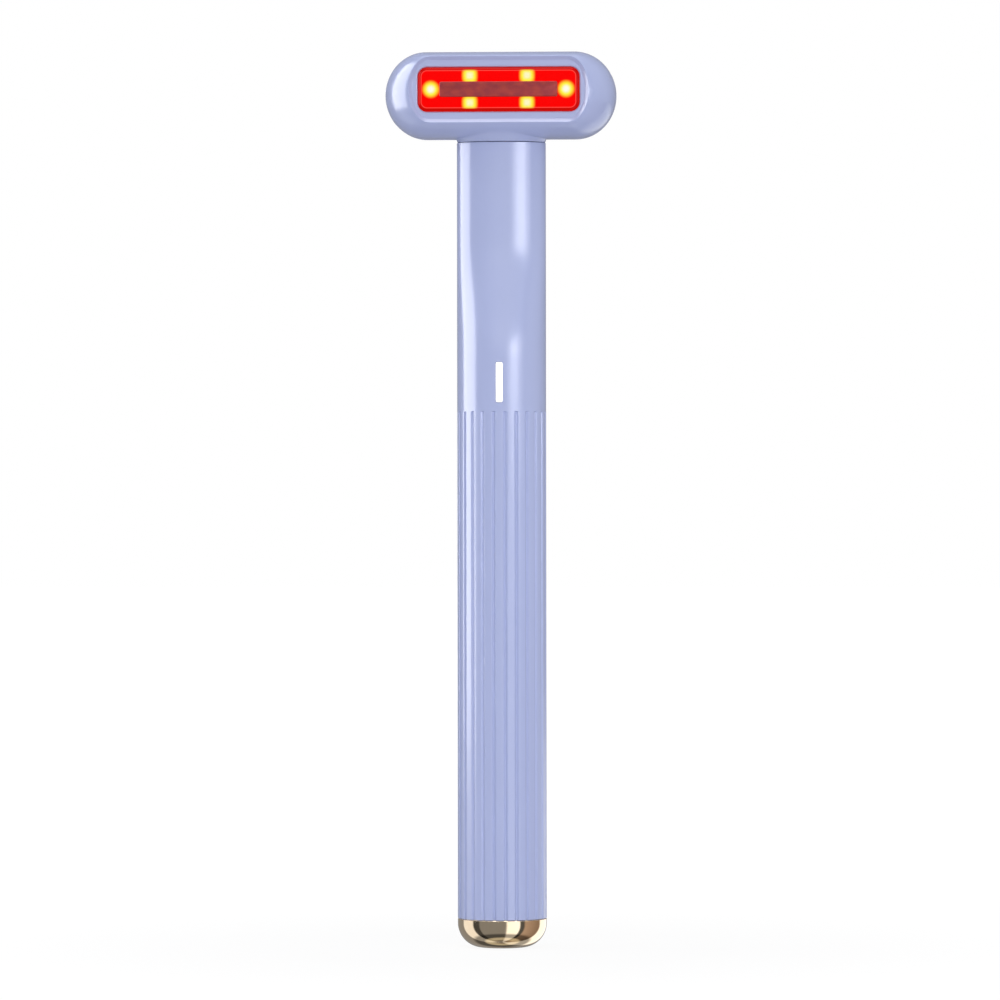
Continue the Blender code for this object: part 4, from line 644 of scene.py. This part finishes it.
# Head: rings run from the window's edge over the frame, the lip and the bulge to the parting line
headLook = {
    "underside": 0.14906, "wall": 0.0015, "seam": 0.000125, "seamEdge": 0.00012, "endRadius": 0.0075,
    # Front half: its face, and degrees of its round from the face's edge to the parting line
    "faceHalfWidth": 0.0166, "faceHalfHeight": 0.0061, "faceEnd": 0.004, "faceRise": 0.00072,
    "frontDepth": 0.0078, "edgeDegrees": 30, "softDegrees": 4, "innerDegrees": 53.8,
    "seamBands": (0.0013, 0.0008, 0.0004),
    "rearHalfWidth": 0.016, "rearHalfHeight": 0.0052, "rearEnd": 0.0044, "backDepth": 0.009,
    # Sunk frame round the window, and the lip outside it
    "dish": 0.0005, "lip": 0.00076, "lipStart": 0.06, "lipShare": 0.88, "holeGap": 0.00003,
    "holeEdge": 0.0003, "pocketGap": 0.0003,
    # Underside, which flares from the neck's flat top, and the hole of the pivot in it
    "jointZ": 0.14844, "jointFront": 0.0059, "flareFront": 1.9, "flareSide": 12.0, "flareBack": 3.0,
    "blend": 0.0016, "sideSharper": 0.84, "sidePower": 4, "pivotHole": 0.00275, "pivotCut": 0.003,
    # Steps of the mesh, and degrees from which its edges stay sharp
    "endSteps": 48, "sideSteps": 120, "cornerSteps": 16, "pivotSteps": 48, "holeSteps": 4, "frameSteps": 4,
    "lipSteps": 12, "ridgeSteps": 7, "frontSteps": 34, "innerSteps": 10, "backSteps": 40,
    "backInnerSteps": 12, "sharp": 34,
}
headHeight = frontHigh.z - headLook["underside"]
headCentreZ = frontHigh.z - headHeight / 2
headHalfWidth = frontHigh.x


def spread(points, steps):
    # Points at even steps along a path
    lengths = [0]
    for a, b in zip(points, points[1:]):
        lengths.append(lengths[-1] + math.dist(a, b))
    made, j = [], 0
    for i in range(steps + 1):
        want = lengths[-1] * i / steps
        while j < len(lengths) - 2 and lengths[j + 1] < want:
            j += 1
        share = (want - lengths[j]) / (lengths[j + 1] - lengths[j])
        made.append(tuple(a + (b - a) * share for a, b in zip(points[j], points[j + 1])))
    return made


def fullRing(rightEnd, y, centreZ):
    # Mirrors an end from below to above, and joins the two ends with straight sides
    leftEnd = [(-u, -v) for u, v in rightEnd]
    startU, topV = rightEnd[-1]
    top = [(u, topV) for u in evenly(startU, leftEnd[0][0], headLook["sideSteps"])[1:-1]]
    bottom = [(-u, -v) for u, v in top]
    return [Vector((u, y, centreZ + v)) for u, v in rightEnd + top + leftEnd + bottom]


def ovalRing(wide, high, end, y, centreZ):
    points = arcPoints(wide - end, 0, end, high, -90, 90, headLook["endSteps"])
    return fullRing(points, y, centreZ)


def squareRing(wide, high, corner, y):
    # An upright rectangle with round corners about the window's middle
    steps = headLook["cornerSteps"]
    points = arcPoints(wide - corner, corner - high, corner, corner, -90, 0, steps)
    points += arcPoints(wide - corner, high - corner, corner, corner, 0, 90, steps)
    return fullRing(spread(points, headLook["endSteps"]), y, windowCentreZ)


def frontRing(degrees, inset=0.0):
    # A section of the front half; its angle goes from the ridge to the widest place
    look = headLook
    edge, turn = math.radians(look["edgeDegrees"]), math.radians(degrees)
    grown = (math.sin(turn) - math.sin(edge)) / (1 - math.sin(edge))
    fallen = 1 - math.cos(turn) / math.cos(edge)
    wide = look["faceHalfWidth"] + (headHalfWidth - look["faceHalfWidth"]) * grown - inset
    high = look["faceHalfHeight"] + (headHeight / 2 - look["faceHalfHeight"]) * grown - inset
    end = look["faceEnd"] + (look["endRadius"] - look["faceEnd"]) * grown - inset
    y = frontLow.y + inset + (look["frontDepth"] - inset) * fallen
    return ovalRing(wide, high, end, y, headCentreZ + look["faceRise"] * (1 - grown))


def backRing(degrees, inset=0.0):
    look = headLook
    turn = math.radians(degrees)
    grown = math.sin(turn)
    wide = look["rearHalfWidth"] + (headHalfWidth - look["rearHalfWidth"]) * grown - inset
    high = look["rearHalfHeight"] + (headHeight / 2 - look["rearHalfHeight"]) * grown - inset
    end = look["rearEnd"] + (look["endRadius"] - look["rearEnd"]) * grown - inset
    y = backHigh.y - inset - (look["backDepth"] - inset) * (1 - math.cos(turn))
    return ovalRing(wide, high, end, y, headCentreZ)


def widestRing(inset, y):
    wide, high, end = headHalfWidth - inset, headHeight / 2 - inset, headLook["endRadius"] - inset
    return ovalRing(wide, high, end, y, headCentreZ)


def blendRings(first, second, share):
    return [a.lerp(b, share) for a, b in zip(first, second)]


def frameRings():
    # From the window's edge over the sunk frame and up to the raised lip
    look = headLook
    gap, corner = look["holeGap"], windowLook["corner"] + look["holeGap"]
    wide, high = lensHalfWidth + gap, lensHalfHeight + gap
    front, edge, dish = frontLow.y, look["holeEdge"], look["dish"]
    rings = [squareRing(wide, high, corner, front + look["wall"])]
    for grow, y in arcPoints(edge, front + dish + edge, edge, edge, 180, 270, look["holeSteps"]):
        rings.append(squareRing(wide + grow, high + grow, corner + grow, y))
    hole, ridge = rings[-1], frontRing(look["edgeDegrees"])
    foot = insetRing(look["lip"])
    rings += [blendRings(hole, foot, share) for share in evenly(0, 1, look["frameSteps"])[1:]]
    for share in evenly(0, 1, look["lipSteps"])[1:-1]:
        lift = dish * (1 - min(max((share - look["lipStart"]) / look["lipShare"], 0), 1))
        rings.append([Vector((x, front + lift, z)) for x, y, z in blendRings(foot, ridge, share)])
    last, start = rings.pop(), frontRing(look["edgeDegrees"] + look["softDegrees"])
    for share in evenly(0, 1, look["ridgeSteps"])[:-1]:
        rings.append([
            a * (1 - share) ** 2 + b * 2 * share * (1 - share) + c * share**2
            for a, b, c in zip(last, ridge, start)
        ])
    return rings


def insetRing(inset):
    # The lip's inner foot, as far inside the ridge all round
    look = headLook
    wide, high, end = look["faceHalfWidth"] - inset, look["faceHalfHeight"] - inset, look["faceEnd"] - inset
    return ovalRing(wide, high, end, frontLow.y + look["dish"], headCentreZ + look["faceRise"])


def loweredToNeck(point):
    # The underside runs softly down to the neck's outline, flat where the neck meets it
    look = headLook
    if point.z > headCentreZ:
        return point
    reach = look["jointFront"] if point.y < 0 else barrelHigh.x
    spreadOut = math.hypot(point.x / barrelHigh.x, point.y / reach)
    outside = max(0, spreadOut - 1) * math.hypot(point.x, point.y) / max(spreadOut, 1)
    steep = look["flareFront"] if point.y < 0 else look["flareBack"]
    side = min(1, abs(point.x) / barrelHigh.x) ** look["sidePower"]
    steep += (look["flareSide"] - steep) * side
    blend = look["blend"] * (1 - look["sideSharper"] * side)
    level = look["jointZ"] + steep * outside
    near = max(blend - abs(level - point.z), 0) / blend
    z = min(level, point.z) - near * near * blend / 4
    return Vector((point.x, point.y, max(z, look["jointZ"])))


def finishHead(shell, node):
    look = headLook
    rim = circle(0, 0, look["pivotHole"], look["pivotSteps"])
    heights = (frontLow.z - cutSpare, frontLow.z + look["pivotCut"])
    hole = fromRings("pivot hole", [[(x, y, z) for x, y in rim] for z in heights])
    combined(shell, "DIFFERENCE", hole, look["sharp"])
    shell.data.materials.clear()
    shell.data.materials.append(finishes["casing"])
    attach(shell, "head")
    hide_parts(node)


def makeFrontShell():
    look = headLook
    edge, wall, seam = look["seamEdge"], look["wall"], look["seam"]
    rings = frameRings()
    start = look["edgeDegrees"] + look["softDegrees"]
    outer = [frontRing(degrees) for degrees in evenly(start, 90, look["frontSteps"])]
    outer += [widestRing(0, -band) for band in (*look["seamBands"], seam + edge)]
    outer.append(widestRing(edge, -seam))
    rings += [[loweredToNeck(point) for point in ring] for ring in outer]
    rings.append(widestRing(wall, -seam))
    rings += [frontRing(degrees, wall) for degrees in evenly(90, look["innerDegrees"], look["innerSteps"])]
    pocket = windowLook["flange"] + look["pocketGap"]
    wide, high, corner = lensHalfWidth + pocket, lensHalfHeight + pocket, windowLook["corner"] + pocket
    rings += [squareRing(wide, high, corner, y) for y in (windowHigh.y, frontLow.y + wall)]
    shell = fromRings("head_front_casing", rings, closed=True, sharpDegrees=look["sharp"])
    finishHead(shell, "head_front_shell")


def makeBackShell():
    look = headLook
    edge, wall, seam = look["seamEdge"], look["wall"], look["seam"]
    outer = [backRing(degrees) for degrees in evenly(0, 90, look["backSteps"])]
    outer += [widestRing(0, seam + edge), widestRing(edge, seam)]
    rings = [[loweredToNeck(point) for point in ring] for ring in outer]
    rings.append(widestRing(wall, seam))
    rings += [backRing(degrees, wall) for degrees in evenly(90, 0, look["backInnerSteps"])]
    shell = fromRings("head_back_casing", rings, sharpDegrees=look["sharp"])
    finishHead(shell, "head_back_shell")


makeFrontShell()
makeBackShell()
print("head casing made")

# Red window: a bevelled rim, a flange behind the frame and a pocket for the contact bar
lensLook = {
    "bevel": 0.00042, "bevelDepth": 0.0003, "flangeDepth": 0.001, "cornerLess": 0.0002,
    "shoulder": 0.00004, "shoulderDepth": 0.00005, "pocketGap": 0.0002, "pocketDepth": 0.0005,
    # Rounding at the bevel's inner edge: share of the bevel, and depth
    "bevelTop": ((0.85, 0.00004), (1, 0.00001), (1.12, 0)), "sharp": 30,
}
# Contact bar with softened edges, and the two posts behind it
barLook = {
    "corner": 0.0003, "edge": 0.00016, "edgeSteps": 3, "thickness": 0.0006, "postPlace": 0.0088,
    "postRadius": 0.0005, "postStart": 0.0003, "postSteps": 24, "sharp": 50,
}


def barRing(grow, corner, y):
    return squareRing(plateHigh.x + grow, (plateHigh.z - plateLow.z) / 2 + grow, corner, y)


def makeWindow():
    look = lensLook
    front, back, flange = windowLow.y, windowHigh.y, windowLook["flange"]
    behind, slope = back - look["flangeDepth"], front + look["bevelDepth"]
    # Growth, growth of the corners, and place
    levels = [(flange, flange, back), (flange, flange, behind), (0, 0, behind)]
    levels += [(0, 0, slope + look["shoulderDepth"]), (-look["shoulder"], 0, slope)]
    for share, depth in look["bevelTop"]:
        levels.append((-look["bevel"] * share, -look["cornerLess"], front + depth))
    rings = [
        squareRing(lensHalfWidth + grow, lensHalfHeight + grow, windowLook["corner"] + more, y)
        for grow, more, y in levels
    ]
    gap = look["pocketGap"]
    rings += [barRing(gap, barLook["corner"] + gap, y) for y in (front, front + look["pocketDepth"])]
    lens = fromRings("red_window", rings, sharpDegrees=look["sharp"])
    lens.data.materials.append(finishes["window"])
    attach(lens, "head")
    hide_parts("light_window")


def makeBar():
    look, front = barLook, plateLow.y
    levels = roundedEdge(look["edge"], front, look["edgeSteps"]) + [(0, front + look["thickness"])]
    rings = [barRing(grow, look["corner"], y) for grow, y in levels]
    bar = fromRings("contact_bar", rings, sharpDegrees=look["sharp"])
    for x in (-look["postPlace"], look["postPlace"]):
        rim = circle(x, windowCentreZ, look["postRadius"], look["postSteps"])
        ends = (front + look["postStart"], plateHigh.y)
        post = fromRings("post", [[(u, y, v) for u, v in rim] for y in ends])
        combined(bar, "UNION", post, look["sharp"])
    bar.data.materials.clear()
    bar.data.materials.append(finishes["contact_metal"])
    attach(bar, "head")
    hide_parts("contact_plate")


makeWindow()
makeBar()
print("window and contact bar made")

# What is held inside keeps its solid and gets the finish of its slot
for subpart in frame["record"]["subparts"]:
    mesh = nodes[subpart["node"]].data
    mesh.materials.clear()
    mesh.materials.append(finishes[subpart["material_slot"]])

# Floor, surround, lamps and camera
stageLook = {
    "floor": (206, 206, 209), "floorSecond": (201, 201, 204), "floorHalf": 4, "floorMottle": 3,
    "floorRoughness": 0.9, "near": 0.88, "white": 1.04, "fadeStart": 0.04, "fadeEnd": 0.2,
    "ambientLow": 0.51, "ambientHigh": 0.64, "surroundRadius": 1.0, "surroundHeight": 1.3,
    "surroundSteps": 120, "bowlSteps": 24, "aimHeight": 0.12,
}
cameraYaw = 3.1  # degrees to the right of the front, and the lamps and the surround turn with it

# Grey of the surround, by degrees to the right of the camera as seen from the wand
surroundBands = [
    (-180, 0.3), (-124, 0.3), (-120, 0.5), (-72, 0.5), (-68, 0.12), (-60, 0.12), (-56, 0.24), (8, 0.24),
    (12, 0.6), (48, 0.6), (51, 0.1), (61, 0.1), (66, 0.9), (108, 0.9), (117, 0.5), (158, 0.3), (164, 0.3),
    (180, 0.3),
]
# The same below the floor, which only the metal cap mirrors
lowerBands = [
    (-180, 0.3), (-122, 0.3), (-118, 1.1), (-84, 1.1), (-80, 0.07), (-64, 0.07), (-60, 0.27), (9, 0.27),
    (14, 1.5), (45, 1.5), (49, 0.1), (58, 0.1), (63, (0.5, 0.37, 0.29)), (112, (0.28, 0.2, 0.15)),
    (117, 1.5), (158, 1.5), (164, 0.3), (180, 0.26),
]
# By degrees down from level: how much of those greys holds, and what is added to them
lowerShares = [(0, 1.0), (40, 1.0), (48, 0.3), (62, 0.3), (70, 0.45), (90, 0.45)]
lowerGlow = [
    (0, 0.0), (61, 0.0), (65, (0.4, 0.36, 0.25)), (74, (0.4, 0.36, 0.25)), (80, (0.11, 0.08, 0.03)),
    (90, 0.05),
]
# Lamps round the wand: degrees to the right of the camera, distance, height, width, height of the
# lamp, radiance, and what sees them
lamps = {
    "left strip": (-93, 0.42, 0.24, 0.375, 0.47, 7.2, "glossy"),
    "right strip": (33, 0.75, 0.175, 0.27, 0.13, 6.5, "glossy"),
    "right halo": (36, 0.8, 0.18, 0.6, 0.15, 3.8, "glossy"),
    "front strip": (-6, 1.1, 0.39, 0.8, 0.36, 5.0, "glossy"),
    "left fill": (-100, 1.0, 0.4, 0.8, 1.2, 1.0, "diffuse"),
    "right fill": (16, 1.2, 0.4, 0.9, 1.2, 1.25, "diffuse"),
    "low fill": (10, 0.3, 0.03, 0.16, 0.1, 3.6, "diffuse"),
}
# Lamps overhead: place, size, radiance, and what sees them
topLamps = {
    "top lamp": ((0, -0.1, 1.1), (0.8, 0.8), 1.3, "all"),
    "top strip": ((0, -0.26, 1.03), (0.5, 0.26), 4.0, "glossy"),
}


def seenShare(tree):
    # 1 for what the camera sees, also mirrored or through glass, and 0 for the light that falls on things
    path = addNode(tree, "ShaderNodeLightPath").outputs
    seen = calc(tree, "MAXIMUM", path["Is Camera Ray"], path["Is Glossy Ray"])
    return calc(tree, "MAXIMUM", seen, path["Is Transmission Ray"])


def makeFloor():
    # White to the camera apart from the shadow close to the wand
    look = stageLook
    half = look["floorHalf"]
    floor = addObject("floor", bpy.data.meshes.new("floor"))
    corners = [(-half, -half, 0), (half, -half, 0), (half, half, 0), (-half, half, 0)]
    floor.data.from_pydata(corners, [], [(0, 1, 2, 3)])
    material, tree, shader = newFinish("pale floor")
    where = addNode(tree, "ShaderNodeTexCoord").outputs["Object"]
    tone = varied(tree, where, look["floorMottle"], 0.0, 1.0)
    colour = blendColour(tree, tone, shown(*look["floor"]), shown(*look["floorSecond"]))
    tree.links.new(colour, shader.inputs["Base Color"])
    shader.inputs["Roughness"].default_value = look["floorRoughness"]
    shader.inputs["Specular IOR Level"].default_value = 0
    light = {"Color": (1, 1, 1, 1), "Strength": look["white"]}
    glow = addNode(tree, "ShaderNodeEmission", light).outputs[0]
    far = addNode(tree, "ShaderNodeVectorMath", {0: where}, operation="LENGTH").outputs["Value"]
    plain = ranged(tree, far, look["fadeStart"], look["fadeEnd"], look["near"], 1)
    share = calc(tree, "MULTIPLY", seenShare(tree), plain)
    mixed = addNode(tree, "ShaderNodeMixShader", {0: share, 1: shader.outputs[0], 2: glow})
    tree.links.new(mixed.outputs[0], tree.nodes["Material Output"].inputs["Surface"])
    floor.data.materials.append(material)
    floor.visible_glossy = False


def bandRamp(tree, value, low, high, stopsGiven):
    # Greys or colours between given places along a value
    ramp = addNode(tree, "ShaderNodeValToRGB", {"Fac": ranged(tree, value, low, high, 0, 1)})
    stops = ramp.color_ramp.elements
    for i, (place, grey) in enumerate(stopsGiven):
        share = (place - low) / (high - low)
        stop = stops[i] if i < 2 else stops.new(share)
        stop.position = share
        stop.color = (*grey, 1) if isinstance(grey, tuple) else (grey, grey, grey, 1)
    return ramp.outputs["Color"]


def makeSurround():
    # A ring of grey cards over a bowl, which only reflections show
    look = stageLook
    radius = look["surroundRadius"]
    levels = [(radius, look["surroundHeight"]), (radius, 0)]
    levels += arcPoints(0, 0, radius, radius, 0, -90, look["bowlSteps"])[1:-1]
    card = turned("surround", levels + [(0, -radius)], look["surroundSteps"])
    material = bpy.data.materials.new("grey cards")
    material.use_nodes = True
    tree = material.node_tree
    tree.nodes.clear()
    where = addNode(tree, "ShaderNodeTexCoord").outputs["Object"]
    split = addNode(tree, "ShaderNodeSeparateXYZ", {"Vector": where}).outputs
    turn = calc(tree, "ARCTAN2", split["X"], calc(tree, "MULTIPLY", split["Y"], -1))
    turn = calc(tree, "SUBTRACT", calc(tree, "MULTIPLY", turn, 180 / math.pi), cameraYaw)
    turn = calc(tree, "WRAP", turn, 180, -180)
    away = calc(tree, "SQRT", calc(tree, "SUBTRACT", radius**2, calc(tree, "POWER", split["Z"], 2)))
    down = calc(tree, "ARCTAN2", calc(tree, "MULTIPLY", split["Z"], -1), away)
    down = calc(tree, "MULTIPLY", down, 180 / math.pi)
    upper = bandRamp(tree, turn, -180, 180, surroundBands)
    lower = bandRamp(tree, turn, -180, 180, lowerBands)
    share = bandRamp(tree, down, 0, 90, lowerShares)
    lower = blendColour(tree, 1.0, lower, share)
    lower.node.blend_type = "MULTIPLY"
    lower = blendColour(tree, 1.0, lower, bandRamp(tree, down, 0, 90, lowerGlow))
    lower.node.blend_type = "ADD"
    below = calc(tree, "LESS_THAN", split["Z"], 0)
    colour = blendColour(tree, below, upper, lower)
    glow = addNode(tree, "ShaderNodeEmission", {"Color": colour, "Strength": 1.0}).outputs[0]
    addNode(tree, "ShaderNodeOutputMaterial", {"Surface": glow})
    card.data.materials.append(material)
    card.visible_camera = card.visible_diffuse = card.visible_shadow = card.visible_transmission = False


def addLamp(name, place, size, radiance, seenBy):
    lamp = bpy.data.lights.new(name, "AREA")
    lamp.shape = "RECTANGLE"
    lamp.size, lamp.size_y = size
    lamp.energy = radiance * math.pi * size[0] * size[1]
    made = bpy.data.objects.new(name, lamp)
    made.location = place
    aim = Vector((0, 0, min(place[2], stageLook["aimHeight"]))) - made.location
    made.rotation_euler = aim.to_track_quat("-Z", "Y").to_euler()
    made.visible_camera = False
    if seenBy == "glossy":
        made.visible_diffuse = False
    if seenBy == "diffuse":
        made.visible_glossy = False
    bpy.context.scene.collection.objects.link(made)


def makeLamps():
    for name, (degrees, distance, height, width, tall, radiance, seenBy) in lamps.items():
        turn = math.radians(degrees + cameraYaw)
        place = (distance * math.sin(turn), -distance * math.cos(turn), height)
        addLamp(name, place, (width, tall), radiance, seenBy)
    for name, given in topLamps.items():
        addLamp(name, *given)


def makeWorld():
    look = stageLook
    world = bpy.data.worlds.new("studio")
    bpy.context.scene.world = world
    world.use_nodes = True
    tree = world.node_tree
    way = addNode(tree, "ShaderNodeTexCoord").outputs["Generated"]
    up = addNode(tree, "ShaderNodeSeparateXYZ", {"Vector": way}).outputs["Z"]
    ambient = ranged(tree, up, 0, 1, look["ambientLow"], look["ambientHigh"])
    background = tree.nodes["Background"].inputs
    tree.links.new(calc(tree, "MAXIMUM", seenShare(tree), ambient), background["Strength"])
    background["Color"].default_value = (1, 1, 1, 1)


makeFloor()
makeSurround()
makeWorld()
makeLamps()

cameraLook = {
    "distance": 1.1526, "height": 0.0852, "lens": 224.8, "sensor": 36, "clipEnd": 20,
    "aim": (-0.00033, 0, 0.0825), "roll": -0.08,
}


def makeCamera():
    look = cameraLook
    data = bpy.data.cameras.new("camera")
    data.sensor_width = look["sensor"]
    data.lens = look["lens"]
    data.clip_end = look["clipEnd"]
    camera = bpy.data.objects.new("camera", data)
    yaw = math.radians(cameraYaw)
    distance = look["distance"]
    camera.location = (distance * math.sin(yaw), -distance * math.cos(yaw), look["height"])
    toward = Vector(look["aim"]) - camera.location
    turn = toward.to_track_quat("-Z", "Y").to_matrix() @ Matrix.Rotation(math.radians(look["roll"]), 3, "Z")
    camera.rotation_euler = turn.to_euler()
    bpy.context.scene.collection.objects.link(camera)
    bpy.context.scene.camera = camera


makeCamera()
bpy.context.scene.view_settings.view_transform = "Standard"
print("stage, lamps and camera made")
